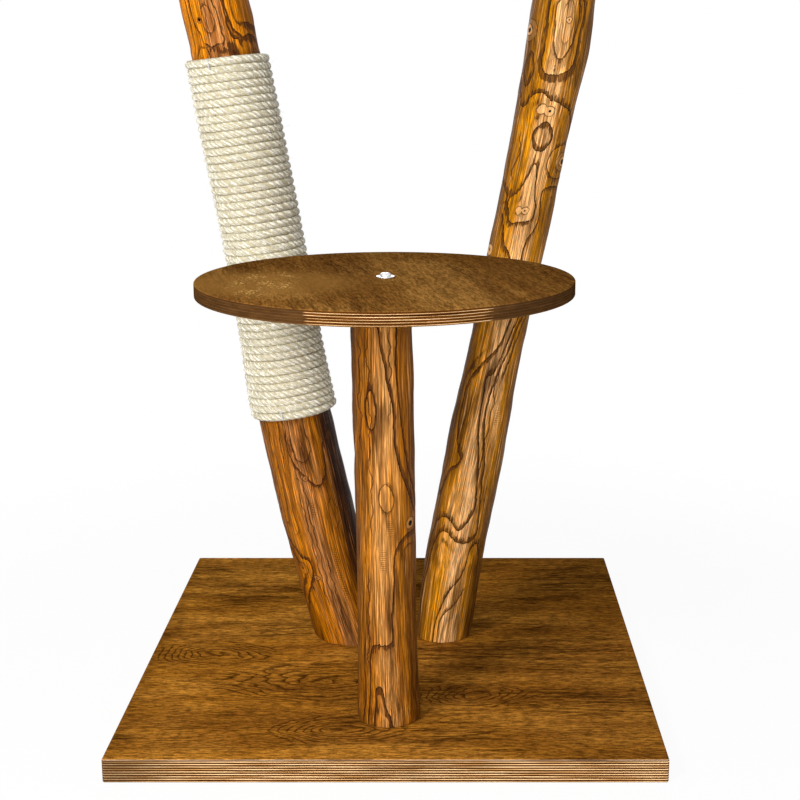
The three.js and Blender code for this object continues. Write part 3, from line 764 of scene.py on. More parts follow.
# %% A shared group: one knot
knot, knot_in, knot_out = new_group(
    "knot",
    [("Place", "Vector"), ("Middle", "Vector"), ("Lobe", "Vector"), ("Size", "Float"),
     ("Hole", "Float")],
    [("Ring", "Float"), ("Hole", "Float"), ("Inside", "Float")],
)
knot_place = knot_in.outputs["Place"]
wobble = stretched_noise(knot, knot_place, (160, 160, 160), 2.0)
from_middle, from_lobe = (
    wire(knot, "VectorMath", [knot_place, knot_in.outputs[end]], 1, operation="DISTANCE")
    for end in ("Middle", "Lobe")
)
nearer = math(knot, "MINIMUM", from_middle, from_lobe)
nearer = times_plus(knot, less(knot, wobble, 0.5), 0.005, nearer)
size_in = knot_in.outputs["Size"]
from_ring = unsigned(knot, less(knot, nearer, size_in))
ring_line = ramp(knot, from_ring, 0.0002, 0.0009, 0.85, 0.0)
hole_line = ramp(knot, less(knot, from_middle, knot_in.outputs["Hole"]), -0.0004, 0.0005, 1, 0)
inside = ramp(knot, less(knot, nearer, size_in), -0.001, 0.001, 1, 0)
give(knot, knot_out, Ring=ring_line, Hole=hole_line, Inside=inside)
print("group:", knot.name, "with", len(knot.nodes), "nodes")


# %% Shared groups: knife marks and veins
def mark_group(name, output, end_fade, draw):
    """A group that shows one drawn mark on the front of a log.

    draw gives the mark from the tree, the place, the mark's middle and the way from there to the
    place. The mark fades over end_fade metres at half its length above and below its middle.
    """
    inputs = [("Place", "Vector"), ("Middle", "Vector"), ("Half", "Float")]
    tree, start, end = new_group(name, inputs, [(output, "Float")])
    place, middle = start.outputs["Place"], start.outputs["Middle"]
    away = wire(tree, "VectorMath", [place, middle], operation="SUBTRACT")
    past = less(tree, unsigned(tree, part_of(tree, away, 2)), start.outputs["Half"])
    mark = times(tree, draw(tree, place, middle, away), ramp(tree, past, -end_fade, 0.0, 1, 0))
    front = ramp(tree, part_of(tree, place, 1), -0.012, 0.0, 1, 0)
    give(tree, end, **{output: times(tree, mark, front)})
    return tree


def knife_ticks(tree, place, middle, away):
    """Short level ticks, one above another: a sine of the height, bent by noise."""
    bend = times(tree, stretched_noise(tree, place, (90, 90, 160), 2.0), 9.0)
    wave = math(tree, "SINE", times_plus(tree, part_of(tree, place, 2), 2700.0, bend))
    beside = unsigned(tree, part_of(tree, away, 0))
    return times(tree, ramp(tree, wave, 0.3, 0.9), ramp(tree, beside, 0.0022, 0.0042, 1, 0))


def wandering_line(tree, place, middle, away):
    """A thin upright line that sways to both sides with its height, each one in its own way."""
    height = wire(tree, "VectorMath", [place, (0, 0, 1)], operation="MULTIPLY")
    start = wire(tree, "VectorMath", [height, middle], operation="ADD")
    sway = less(tree, stretched_noise(tree, start, (0, 0, 42), 3.0, 0.5), 0.5)
    beside = times_plus(tree, sway, 0.017, part_of(tree, away, 0))
    return ramp(tree, unsigned(tree, beside), 0.0002, 0.0011, 1, 0)


chatter = mark_group("knife_chatter", "Ticks", 0.006, knife_ticks)
vein = mark_group("vein", "Vein", 0.02, wandering_line)
print("groups:", chatter.name, vein.name)

# Each row, in mm: the middle, right of the front line and above the foot, and half the length.
CHATTER = {"center_post": [(6, 228, 13), (-1.5, 194, 15)],
           "left_post": [(15, 95, 38), (3, 180, 12)],
           "right_post": [(17, 295, 14), (-6, 440, 10)]}
VEINS = {"center_post": [(-14, 330, 120), (-18, 120, 70), (9, 400, 60), (-24, 380, 70)],
         "left_post": [(-3, 150, 110), (-9, 130, 80), (3, 70, 60), (6, 235, 45), (-10, 262, 24),
                       (-7, 770, 30)],
         "right_post": [(8, 300, 90), (-24, 610, 40)]}


# %% The logs' material
def attribute(tree, name, out="Fac"):
    """A per-vertex value that a mesh carries."""
    return wire(tree, "Attribute", out=out, attribute_name=name)


def group_node(tree, group, **inputs):
    """Places a shared group in a material, with its own values."""
    node = tree.nodes.new("ShaderNodeGroup")
    node.node_tree = group
    for name, value in inputs.items():
        if isinstance(value, bpy.types.NodeSocket):
            tree.links.new(value, node.inputs[name])
        else:
            node.inputs[name].default_value = value
    return node.outputs


def set_bump(tree, shader, height, distance, strength=1.0):
    """Tilts the shader's normal by a height field of the given depth in metres."""
    inputs = {"Height": height, "Distance": distance, "Strength": strength}
    tree.links.new(wire(tree, "Bump", inputs), shader.inputs["Normal"])


def knot_middle(node, across, level, radius):
    """Where on the straightened log's skin, in metres, a place in mm across and up lies."""
    turn = across / radius - np.pi / 2
    local = log_frame(node, log_rings[node][0, 0] + level / 1000)[3]
    return [float(local * np.cos(turn)), float(local * np.sin(turn)), level / 1000]


PALE_KNOT = 7.5  # mm: smaller knots are paler than the wood around them


def knots_of(tree, node, place):
    """The darkest ring and hole of all knots on a log, and where a knot is, from one group each."""
    rings = log_rings[node]
    radius = rings[:, 4].mean() * 1000
    top = (rings[-1, 0] - rings[0, 0]) * 1000
    found = {}
    for across, level, size, hole_radius, lobe in all_knots(node, top, np.pi * radius):
        shift = lobe or (0, 0)
        middle, second = (knot_middle(node, *at, radius)
                          for at in ((across, level), (across + shift[0], level + shift[1])))
        marks = group_node(tree, knot, Place=place, Middle=middle, Lobe=second,
                           Size=size / 1000, Hole=hole_radius / 1000)
        pale = 1.0 if size < PALE_KNOT else 0.2
        for part in ("Ring", "Hole", "Inside"):
            mark = times(tree, marks[part], pale) if part == "Inside" else marks[part]
            found[part] = larger(tree, found[part], mark) if part in found else mark
    return found["Ring"], found["Hole"], found["Inside"]


def worst_of(tree, group, output, rows, place):
    """The highest value of a group's output over rows of (right, up, half length) in mm."""
    total = None
    for right, up, half in rows:
        marks = group_node(tree, group, Place=place, Middle=(right / 1000, 0, up / 1000),
                           Half=half / 1000)
        total = marks[output] if total is None else larger(tree, total, marks[output])
    return total


# For each log: how dark its left and its right side are made, partly as scorch and partly as
# painted shade.
SIDE_SCORCH_AND_SHADE = {"center_post": (0.45, 0.4), "left_post": (0.15, 0.97), "right_post": (0.7, 0.6)}
LOG_TONES = {  # painted sheen on the pale front, golden sides, darker wood before an edge, scorched wood
    "center_post": ((218, 154, 84), (190, 116, 18), (136, 76, 16), (72, 38, 12)),
    "left_post": ((192, 128, 70), (212, 128, 8), (122, 64, 12), (40, 19, 8)),
    "right_post": ((255, 196, 130), (226, 148, 14), (160, 98, 18), (78, 46, 20)),
}


YEARS_PER_METRE = 270.0  # yearly rings from the heart outwards
LEAST_STEEP = 0.012  # levels per mm, so that a flat field has no endless edge


def end_grain(tree, place, pale, dark):
    """Yearly rings on a sawn end: the distance from the heart, cut into years that wander."""
    flat = wire(tree, "VectorMath", [place, (1, 1, 0)], operation="MULTIPLY")
    from_heart = wire(tree, "VectorMath", [flat], out=1, operation="LENGTH")
    wander = stretched_noise(tree, place, (60, 60, 60), 3.0)
    years = times_plus(tree, from_heart, YEARS_PER_METRE, times(tree, wander, 1.6))
    year = ramp(tree, math(tree, "FRACT", years), 0.25, 0.95, 0, 0.9)
    return blend_colour(tree, year, pale, dark)


def ring_marks(tree, place):
    """The growth field cut into rings, with the dark edge, thin line and burnt rim of each.

    A ring is what follows the whole number in growth plus a small raggedness. The way to its edge,
    in mm, is what is left of the ring divided by how steep the field is. Where a line crosses the
    grain, its edge is wider and its teeth are longer.
    """
    teeth = less(tree, stretched_noise(tree, place, (470, 470, 60), 2.0, 0.6), 0.5)
    steep = larger(tree, attribute(tree, "steep"), LEAST_STEEP)
    shown = ramp(tree, attribute(tree, "shown"), 0.08, 0.7, 0.05, 1.0)
    crossing = math(tree, "DIVIDE", attribute(tree, "rise"), steep)
    ragged = times(tree, times(tree, teeth, times_plus(tree, crossing, 4.0, 1.3)), steep)
    long_teeth = times(tree, teeth, times_plus(tree, crossing, 30.0, 3.0))
    ring = math(tree, "FRACT", math(tree, "ADD", attribute(tree, "growth"), ragged))
    left_over = less(tree, 1.0, ring)
    to_edge = math(tree, "DIVIDE", left_over, steep)
    toothed = times_plus(tree, long_teeth, steep, left_over)
    width = times(tree, attribute(tree, "edge"), times_plus(tree, crossing, 1.1, 0.55))
    past_edge = less(tree, math(tree, "ADD", long_teeth, to_edge), width)
    late = ramp(tree, toothed, 0.5, 0.7, 1, 0)
    dark_edge = times(tree, times(tree, late, ramp(tree, past_edge, -0.9, 0.7, 1, 0)), shown)
    faint = ramp(tree, stretched_noise(tree, place, (45, 45, 22), 2.0), 0.35, 0.55, 0.35, 1)
    line = times(tree, ramp(tree, to_edge, 0.2, 1.3, 1, 0), faint)
    line = times(tree, line, ramp(tree, attribute(tree, "shown"), 0.05, 0.4, 0.08, 1.0))
    burnt = ramp(tree, times_plus(tree, teeth, 3.0, to_edge), 0.5, 1.8, 0.6, 0)
    return ring, shown, dark_edge, line, times(tree, burnt, times(tree, shown, shown))


def log_material(node):
    """Peeled, scorched and oiled wood that follows the growth field of its log.

    Its pale front is a painted sheen, and it is painted darker towards its sides as shade.
    """
    material, tree, shader = new_material("oiled_log_" + node)
    sheen, golden, brown, scorch_and_shade = (srgb(*tone) for tone in LOG_TONES[node])
    place = attribute(tree, "straight", "Vector")
    grain = group_node(tree, fibres, Place=place, Fine=(1300, 1300, 26), Broad=(210, 210, 5))
    ring, shown, dark_edge, line, burnt = ring_marks(tree, place)
    tone = less(tree, stretched_noise(tree, place, (50, 50, 6), 3.0), 0.5)
    aside = math(tree, "DIVIDE", part_of(tree, place, 0), log_rings[node][:, 4].mean())
    off_front = unsigned(tree, times_plus(tree, tone, 1.3, aside))
    uneven = times_plus(tree, tone, 0.9, aside)
    # painted shade: grows towards both sides of the log, where it turns away from the light
    painted_limb_shade = times_plus(tree, tone, 0.7, unsigned(tree, aside))
    above_wrap = ramp(tree, part_of(tree, place, 2), 0.715, 0.745)
    # painted light: the left log is made lighter above the wrap, with less smoke and side darkening
    painted_light_top = times(tree, above_wrap, 1.0 if node == "left_post" else 0.0)
    calm = times_plus(tree, painted_light_top, -0.75, 1.0)
    left_scorch_and_shade, right_scorch_and_shade = SIDE_SCORCH_AND_SHADE[node]
    smoke = ramp(tree, stretched_noise(tree, place, (75, 75, 12), 3.0), 0.5, 0.7, 0, 0.7)
    pale_noise = stretched_noise(tree, place, (460, 460, 9), 2.0)
    body = painted(
        tree,
        sheen,
        # painted sheen: the pale sheen tone lies down the front and turns golden away from it
        (ramp(tree, off_front, 0.1, 0.6), golden),
        (times(tree, ramp(tree, ring, 0.1, 0.95, 0, 0.5), shown), brown),
        (ramp(tree, grain["Broad"], 0.46, 0.68, 0, 0.75), brown),
        # partly scorch and partly painted shade: the right and the left side darken
        (times(tree, ramp(tree, uneven, 0.2, 1.0, 0, right_scorch_and_shade), calm), scorch_and_shade),
        (ramp(tree, uneven, -1.0, -0.5, left_scorch_and_shade, 0), scorch_and_shade),
        # painted shade: the wood darkens towards both sides of the log
        (ramp(tree, painted_limb_shade, 0.7, 1.05, 0, 0.6), scorch_and_shade),
        (times(tree, smoke, calm), scorch_and_shade),
        (ramp(tree, pale_noise, 0.56, 0.70, 0, 0.55), sheen),
    )
    fine = ramp(tree, grain["Fine"], 0.39, 0.61, 0.46, 1.50)
    body = lit(tree, body, times(tree, fine, times_plus(tree, painted_light_top, 0.32, 1.0)))
    seam_noise = less(tree, stretched_noise(tree, place, (330, 330, 4), 2.0), 0.5)
    seams = ramp(tree, unsigned(tree, seam_noise), 0.0, 0.014, 0.6, 0)
    fringe_share = ramp(tree, grain["Fine"], 0.44, 0.64, 0, 0.6)
    knot_ring, knot_hole, knot_inside = knots_of(tree, node, place)
    veins = worst_of(tree, vein, "Vein", VEINS[node], place)
    ticks = worst_of(tree, chatter, "Ticks", CHATTER[node], place)
    sawn = end_grain(tree, place, srgb(214, 158, 92), srgb(138, 84, 38))
    body = painted(
        tree,
        body,
        (larger(tree, seams, times(tree, grain["Pores"], 0.45)), scorch_and_shade),
        (times(tree, dark_edge, 0.88), blend_colour(tree, fringe_share, srgb(66, 40, 22), brown)),
        (burnt, srgb(50, 26, 12)),
        (times(tree, line, 0.92), srgb(38, 18, 8)),
        (times(tree, knot_inside, 0.6), sheen),
        (times(tree, veins, 0.85), srgb(74, 34, 20)),
        (times(tree, ticks, 0.6), scorch_and_shade),
        (math(tree, "MINIMUM", knot_ring, 0.85), srgb(70, 36, 14)),
        (knot_hole, srgb(18, 8, 4)),
        (attribute(tree, "sawn"), sawn),
    )
    tree.links.new(body, shader.inputs["Base Color"])
    shader.inputs["Specular IOR Level"].default_value = 0.025
    gloss = times_plus(tree, fine, -0.12, 0.48)
    tree.links.new(times_plus(tree, dark_edge, 0.12, gloss), shader.inputs["Roughness"])
    relief = fine
    for groove, depth in ((dark_edge, -0.5), (seams, -0.5), (larger(tree, veins, ticks), -0.5),
                          (knot_hole, -2.5)):
        relief = times_plus(tree, groove, depth, relief)
    set_bump(tree, shader, relief, 0.0008, 0.85)
    return material


for node, mesh in log_meshes.items():
    finish_piece(add_object(node + "_log", mesh, log_material(node)), "oiled_log", node)

# %% [markdown]
# ## The rope
#
# The wrap is laid rope: three strands, each of many fibres, wind round each other to the right as
# the rope runs along, and the rope winds to the left up the log. A path gives the rope's middle,
# and each strand is a small circle carried along a helix round that path, so the strands bulge
# and the grooves between them are real.

# %% The path of the rope's middle
ROPE_DIAMETER = 0.0093
ROPE_TURNS = 46.64
ROPE_START_ANGLE = np.radians(30)
ROPE_FIRST, ROPE_LAST = 0.3234, 0.7509  # heights of the rope's middle at its two ends
ROPE_TILT_LOW, ROPE_TILT_HIGH = 0.170, 0.140
ROPE_RINGS = 5400
ROPE_REST_GAP = 0.00012
ROPE_WANDER = 0.00012  # how far a turn strays up or down from its even place
ROPE_SEED = 7


def unsteady(turns, seed, least, most, count=40):
    """A smooth random wander along the turns: a sum of cosines with a spread of 1."""
    chance = np.random.default_rng(seed)
    speed = 2 * np.pi / chance.uniform(least, most, count)
    start = chance.uniform(0, 2 * np.pi, count)
    return np.cos(np.outer(turns, speed) + start).sum(axis=1) / np.sqrt(count / 2)


def rope_path(count):
    """Points on the rope's middle, evenly spaced, and the way out of the log at each.

    The turns lie in planes that lean with the log. A point is the log's middle plus the log's and
    the rope's radius, carried round by the angle, and its height rises evenly with the turns.
    """
    turns = np.linspace(0, ROPE_TURNS, 60000)
    angle = ROPE_START_ANGLE - 2 * np.pi * turns
    rise = ROPE_FIRST + (ROPE_LAST - ROPE_FIRST) * turns / ROPE_TURNS
    rise = rise + ROPE_WANDER * unsteady(turns, ROPE_SEED, 0.4, 3.0)
    tilt = np.interp(rise, [0.30, 0.66, 0.76], [ROPE_TILT_LOW, ROPE_TILT_LOW, ROPE_TILT_HIGH])
    sideways = np.stack([np.cos(tilt), 0 * tilt, np.sin(tilt)], axis=-1)
    backward = np.array([0.0, 1.0, 0.0])
    reach = log_frame("left_post", rise)[3] + ROPE_DIAMETER / 2
    for _ in range(2):
        level = rise + reach * np.cos(angle) * np.sin(tilt)
        reach = log_frame("left_post", level)[3] + ROPE_DIAMETER / 2 + ROPE_REST_GAP
    base_x, base_y = log_frame("left_post", rise)[:2]
    out = np.cos(angle)[:, None] * sideways + np.sin(angle)[:, None] * backward
    points = np.stack([base_x, base_y, rise], axis=-1) + reach[:, None] * out
    length = np.concatenate([[0], np.cumsum(np.linalg.norm(np.diff(points, axis=0), axis=1))])
    at = np.linspace(0, length[-1], count)
    points, out = (np.stack([np.interp(at, length, part[:, axis]) for axis in range(3)], axis=-1)
                   for part in (points, out))
    return points, out, at


rope_points, rope_out, rope_length = rope_path(ROPE_RINGS)
print("rope:", round(rope_length[-1], 2), "m in", ROPE_TURNS, "turns")

# %% Three strands
STRAND_COUNT = 3
STRAND_LAY = 0.0242  # rope length in which a strand goes once round
STRAND_SIDES = 9
STRAND_RADIUS = ROPE_DIAMETER / 2 * 0.49
STRAND_OFFSET = ROPE_DIAMETER / 2 - STRAND_RADIUS
PRESSED_WIDE = 1.10  # how much wider than high the rope is, because its turns press on each other
rope_along = np.gradient(rope_points, axis=0)
rope_along /= np.linalg.norm(rope_along, axis=1, keepdims=True)
rope_side = np.cross(rope_along, rope_out)


def strand_grid(number):
    """Rings of one strand: its middle circles the rope's middle once per lay, to the right.

    Each ring is a circle around that middle, in the plane of the rope's own cross-section. The
    whole cross-section is then stretched along the log, as turns do that press on each other.
    """
    phase = 2 * np.pi * (rope_length / STRAND_LAY + number / STRAND_COUNT)
    phase = phase + 0.25 * unsteady(rope_length, 30 + number, 0.15, 1.0)
    heading = np.cos(phase)[:, None] * rope_out + np.sin(phase)[:, None] * rope_side
    across = -np.sin(phase)[:, None] * rope_out + np.cos(phase)[:, None] * rope_side
    middle = STRAND_OFFSET * heading
    turn = 2 * np.pi * np.arange(STRAND_SIDES) / STRAND_SIDES
    outward, sideward = np.cos(turn)[None, :, None], np.sin(turn)[None, :, None]
    ring = outward * heading[:, None] + 1.06 * sideward * across[:, None]
    reach = STRAND_RADIUS * (1 + 0.04 * unsteady(rope_length, 40 + number, 0.02, 0.2))
    away = middle[:, None] + reach[:, None, None] * ring
    aside = (away * rope_side[:, None]).sum(axis=-1, keepdims=True) * rope_side[:, None]
    points = rope_points[:, None] + away + (PRESSED_WIDE - 1) * aside
    return points, (1 + outward[..., 0]) / 2 + 0 * phase[:, None]


def strand_mesh(number):
    """One strand with its own length and angle as UV, and how far each point is from the core."""
    points, outer = strand_grid(number)
    mesh = grid_mesh(f"rope_strand_{number + 1}", points, first_cap=True, last_cap=True)
    per_vertex(mesh, "outer", outer)
    vertex = corner_vertices(mesh)
    row, column = np.divmod(np.minimum(vertex, points.shape[0] * STRAND_SIDES - 1), STRAND_SIDES)
    side = column / STRAND_SIDES
    first, count = (np.empty(len(mesh.polygons), np.int32) for _ in range(2))
    mesh.polygons.foreach_get("loop_start", first)
    mesh.polygons.foreach_get("loop_total", count)
    widest = np.maximum.reduceat(side, first)
    side = side + (np.repeat(widest > 0.7, count) & (side < 0.3))
    write_uv(mesh, np.stack([rope_length[row], side * 2 * np.pi * STRAND_RADIUS], axis=-1))
    return mesh


HEART_SIDES, HEART_EVERY = 8, 2
HEART_SHARES = (0.70, 1.06)  # the heart's reach out of the log and along it, in rope radii


def heart_mesh():
    """The rope's heart: an oval tube on the rope's own path that closes the gaps between turns."""
    turn = 2 * np.pi * np.arange(HEART_SIDES) / HEART_SIDES
    reach_out, reach_along = (ROPE_DIAMETER / 2 * share for share in HEART_SHARES)
    middle, out, side = (part[::HEART_EVERY, None] for part in (rope_points, rope_out, rope_side))
    points = middle + reach_out * np.cos(turn)[:, None] * out
    points = points + reach_along * np.sin(turn)[:, None] * side
    return grid_mesh("rope_heart", points, first_cap=True, last_cap=True)


strand_meshes = [strand_mesh(number) for number in range(STRAND_COUNT)]
print("faces of one strand:", len(strand_meshes[0].polygons))


# %% The rope's material
def sisal_material():
    """Pale twisted fibre: yarns run across each strand, and the grooves are painted darker and tan
    as shade.
    """
    material, tree, shader = new_material("sisal_rope", 0.82)
    uv = wire(tree, "TexCoord", out=2)
    along, around = part_of(tree, uv, 0), part_of(tree, uv, 1)
    slant = times_plus(tree, along, 0.42, around)
    yarn_place = wire(tree, "CombineXYZ", [times(tree, along, 0.12), slant, 0.0])
    yarn = stretched_noise(tree, yarn_place, (900, 760, 1), 4.0, 0.65)
    hair = stretched_noise(tree, yarn_place, (900, 1900, 1), 2.0, 0.6)
    stain = stretched_noise(tree, uv, (40, 40, 1), 3.0)
    outer = attribute(tree, "outer")
    split = ramp(tree, unsigned(tree, less(tree, hair, 0.5)), 0.0, 0.035, 0.55, 0)
    body = painted(
        tree,
        srgb(170, 164, 138),
        (ramp(tree, yarn, 0.40, 0.60), srgb(249, 246, 236)),
        (split, srgb(146, 138, 108)),
        (ramp(tree, stain, 0.45, 0.75, 0, 0.25), srgb(214, 204, 174)),
        # painted shade: each strand's inner side, down in the grooves, is darker tan
        (ramp(tree, outer, 0.05, 0.7, 0.8, 0.0), srgb(150, 140, 110)),
    )
    tree.links.new(body, shader.inputs["Base Color"])
    relief = times_plus(tree, hair, 0.4, yarn)
    set_bump(tree, shader, relief, 0.0007, 0.8)
    shader.inputs["Specular IOR Level"].default_value = 0.2
    shader.inputs["Sheen Weight"].default_value = 0.25
    shader.inputs["Sheen Roughness"].default_value = 0.6
    return material


def heart_material():
    """Tan fibre deep between the turns, painted darker as shade."""
    material, tree, shader = new_material("sisal_heart", 0.9)
    place = wire(tree, "TexCoord", out=3)
    fuzz = stretched_noise(tree, place, (900, 900, 1600), 3.0)
    # painted shade: the heart between the turns is darker than the strands
    body = blend_colour(tree, ramp(tree, fuzz, 0.3, 0.7), srgb(160, 150, 122), srgb(212, 204, 176))
    tree.links.new(body, shader.inputs["Base Color"])
    shader.inputs["Specular IOR Level"].default_value = 0.1
    set_bump(tree, shader, fuzz, 0.0004, 0.6)
    return material


# %% Stray fibres
FUZZ_COUNT, FUZZ_SIDES, FUZZ_RINGS = 900, 3, 5
FUZZ_RADIUS = 0.00011


def fuzz_mesh():
    """Short curved hairs: each starts on the rope's outer side and leans along it and outwards.

    A hair's middle line is its root plus its direction times the share of its length, plus a bend
    that grows with the square of the share; a thin triangle of points is carried along it.
    """
    chance = np.random.default_rng(ROPE_SEED + 1)
    root = chance.integers(40, ROPE_RINGS - 40, FUZZ_COUNT)
    swing = chance.uniform(-1.1, 1.1, FUZZ_COUNT)[:, None]
    away = np.cos(swing) * rope_out[root] + np.sin(swing) * rope_side[root]
    along = rope_along[root] * chance.choice([-1, 1], FUZZ_COUNT)[:, None]
    start = rope_points[root] + ROPE_DIAMETER / 2 * 0.93 * away
    length = chance.uniform(0.003, 0.011, FUZZ_COUNT)[:, None]
    lean = chance.uniform(0.12, 0.5, FUZZ_COUNT)[:, None]
    bend = chance.normal(0, 0.25, (FUZZ_COUNT, 3))
    share = np.linspace(0, 1, FUZZ_RINGS)[:, None, None]
    line = start + length * (share * (along + lean * away) + share**2 * bend)
    turn = 2 * np.pi * np.arange(FUZZ_SIDES) / FUZZ_SIDES
    crosswise = np.cross(along, away)[:, None]
    ring = np.cos(turn)[:, None] * away[:, None] + np.sin(turn)[:, None] * crosswise
    thick = FUZZ_RADIUS * (1 - 0.6 * share[..., None])
    points = (line[:, :, None] + thick * ring[None]).transpose(1, 0, 2, 3)
    index = np.arange(FUZZ_RINGS * FUZZ_SIDES).reshape(FUZZ_RINGS, FUZZ_SIDES)
    index = np.hstack([index, index[:, :1]])
    quads = np.stack([index[:-1, :-1], index[:-1, 1:], index[1:, 1:], index[1:, :-1]], axis=-1)
    quads = quads.reshape(-1, 4)
    ends = [index[0, 2::-1].tolist(), index[-1, :3].tolist()]
    every = FUZZ_RINGS * FUZZ_SIDES * np.arange(FUZZ_COUNT)
    faces = (quads[None] + every[:, None, None]).reshape(-1, 4).tolist()
    faces += [[corner + first for corner in end] for first in every.tolist() for end in ends]
    mesh = bpy.data.meshes.new("rope_fuzz")
    mesh.from_pydata(points.reshape(-1, 3).tolist(), [], faces)
    mesh.shade_smooth()
    return mesh


fuzz_fibre, fuzz_tree, fuzz_shader = new_material("sisal_fibre", 0.7)
fuzz_spread = stretched_noise(fuzz_tree, wire(fuzz_tree, "TexCoord", out=3), (70, 70, 70), 2.0)
fuzz_colour = blend_colour(fuzz_tree, ramp(fuzz_tree, fuzz_spread, 0.3, 0.7), srgb(222, 208, 168),
                           srgb(250, 246, 230))
fuzz_tree.links.new(fuzz_colour, fuzz_shader.inputs["Base Color"])
finish_piece(add_object("rope_fuzz", fuzz_mesh(), fuzz_fibre), "sisal_rope")
finish_piece(add_object("rope_heart", heart_mesh(), heart_material()), "sisal_rope")
sisal = sisal_material()
for number, mesh in enumerate(strand_meshes):
    strand = add_object(mesh.name, mesh, sisal)
    finish_piece(strand, "sisal_rope", *(["sisal_rope_wrap"] if number == 0 else []))

# %% [markdown]
# ## Plywood boards
#
# Birch plywood shows its layers at the edge, one light and one dark in turn, because each layer's
# grain is turned against the next. The face was stained with the grain still open, so the curls of
# the peeled veneer stand out dark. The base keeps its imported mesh, whose holes are right. The
# round shelf gets a finer edge, as a profile carried round the middle.

# %% A shared group: peeled veneer
veneer, veneer_in, veneer_out = new_group(
    "veneer",
    [("Place", "Vector"), ("Figure", "Float"), ("Shown", "Float")],
    [(name, "Float") for name in ("Rings", "Streaks", "Strokes", "Bands", "Patches", "Cracks")],
)
veneer_place = veneer_in.outputs["Place"]
slow = stretched_noise(veneer, veneer_place, (2.2, 9.0, 3.0), 3.0, 0.5)
curl = stretched_noise(veneer, veneer_place, (16, 45, 22), 3.0, 0.6)
veneer_growth = times_plus(veneer, curl, 2.2, times(veneer, slow, 24.0))
veneer_growth = math(veneer, "ADD", veneer_growth, veneer_in.outputs["Figure"])
veneer_ring = math(veneer, "FRACT", veneer_growth)
ring_rise = ramp(veneer, veneer_ring, 0.50, 0.92)
ring_drop = ramp(veneer, veneer_ring, 0.95, 1.0, 1, 0)
ring_dark = times(veneer, times(veneer, ring_rise, ring_drop), veneer_in.outputs["Shown"])
streak_noise = stretched_noise(veneer, veneer_place, (24, 190, 60), 5.0, 0.78)
stroke_noise = stretched_noise(veneer, veneer_place, (80, 400, 110), 4.0, 0.8)
crack_noise = stretched_noise(veneer, veneer_place, (5, 60, 5), 4.0, 0.6)
crack_line = ramp(veneer, unsigned(veneer, less(veneer, crack_noise, 0.5)), 0.008, 0.05, 1, 0)
crack_shown = ramp(veneer, stretched_noise(veneer, veneer_place, (6, 16, 6), 2.0), 0.48, 0.6)
band_noise = stretched_noise(veneer, veneer_place, (2.2, 26, 3), 3.0, 0.6)
patch_noise = stretched_noise(veneer, veneer_place, (5, 12, 5), 3.0)
give(
    veneer,
    veneer_out,
    Rings=ring_dark,
    Streaks=ramp(veneer, streak_noise, 0.43, 0.59),
    Strokes=ramp(veneer, stroke_noise, 0.38, 0.62),
    Bands=ramp(veneer, band_noise, 0.42, 0.60),
    Patches=patch_noise,
    Cracks=times(veneer, crack_line, crack_shown),
)
print("group:", veneer.name)


# %% The boards' material
PLY_DARK = (srgb(48, 22, 4), srgb(92, 52, 18))
PLY_LIGHT = (srgb(196, 144, 86), srgb(250, 212, 158))
EDGE_STAIN = srgb(76, 50, 25)
# pale upper rim of the top ply: partly wear and partly a painted highlight
WORN_PLY_AND_HIGHLIGHT = srgb(244, 214, 184)


def ply_edge(tree, place, underside, ply_height, light_from, stained, top_ply, worn_and_highlight_share):
    """Colours of a plywood edge: the height in plies, waving a little, light on every second one.

    A ply is light where its share of the way to its own middle passes light_from. Where stained
    is 1, the face's stain ran over the edge and hides the plies. The top ply, number top_ply, is
    made pale along its upper rim by the last share, partly as wear and partly as a painted
    highlight.
    """
    height = part_of(tree, place, 2)
    ripple = less(tree, stretched_noise(tree, place, (9, 9, 120), 2.0), 0.5)
    plies = math(tree, "DIVIDE", less(tree, height, underside), ply_height)
    level = math(tree, "PINGPONG", times_plus(tree, ripple, 0.3, plies), 1.0)
    uneven = stretched_noise(tree, place, (14, 14, 500), 2.0)
    light_ply = ramp(tree, times_plus(tree, uneven, 0.3, level), light_from - 0.09,
                     light_from + 0.07)
    fleck = ramp(tree, stretched_noise(tree, place, (16, 16, 420), 3.0), 0.3, 0.66)
    dark, light = (blend_colour(tree, fleck, *pair) for pair in (PLY_DARK, PLY_LIGHT))
    bare = blend_colour(tree, light_ply, dark, light)
    grime = ramp(tree, stretched_noise(tree, place, (60, 60, 260), 4.0), 0.35, 0.7, 0.75, 1.1)
    # partly wear and partly a painted highlight along the top ply's upper rim
    worn_and_highlight = ramp(tree, plies, top_ply - 0.95, top_ply - 0.55)
    worn_and_highlight = times(tree, worn_and_highlight, ramp(tree, uneven, 0.35, 0.6, 0.3, 1.0))
    layers = ((stained, lit(tree, EDGE_STAIN, grime)), (times(tree, worn_and_highlight, worn_and_highlight_share), WORN_PLY_AND_HIGHLIGHT))
    return painted(tree, bare, *layers)


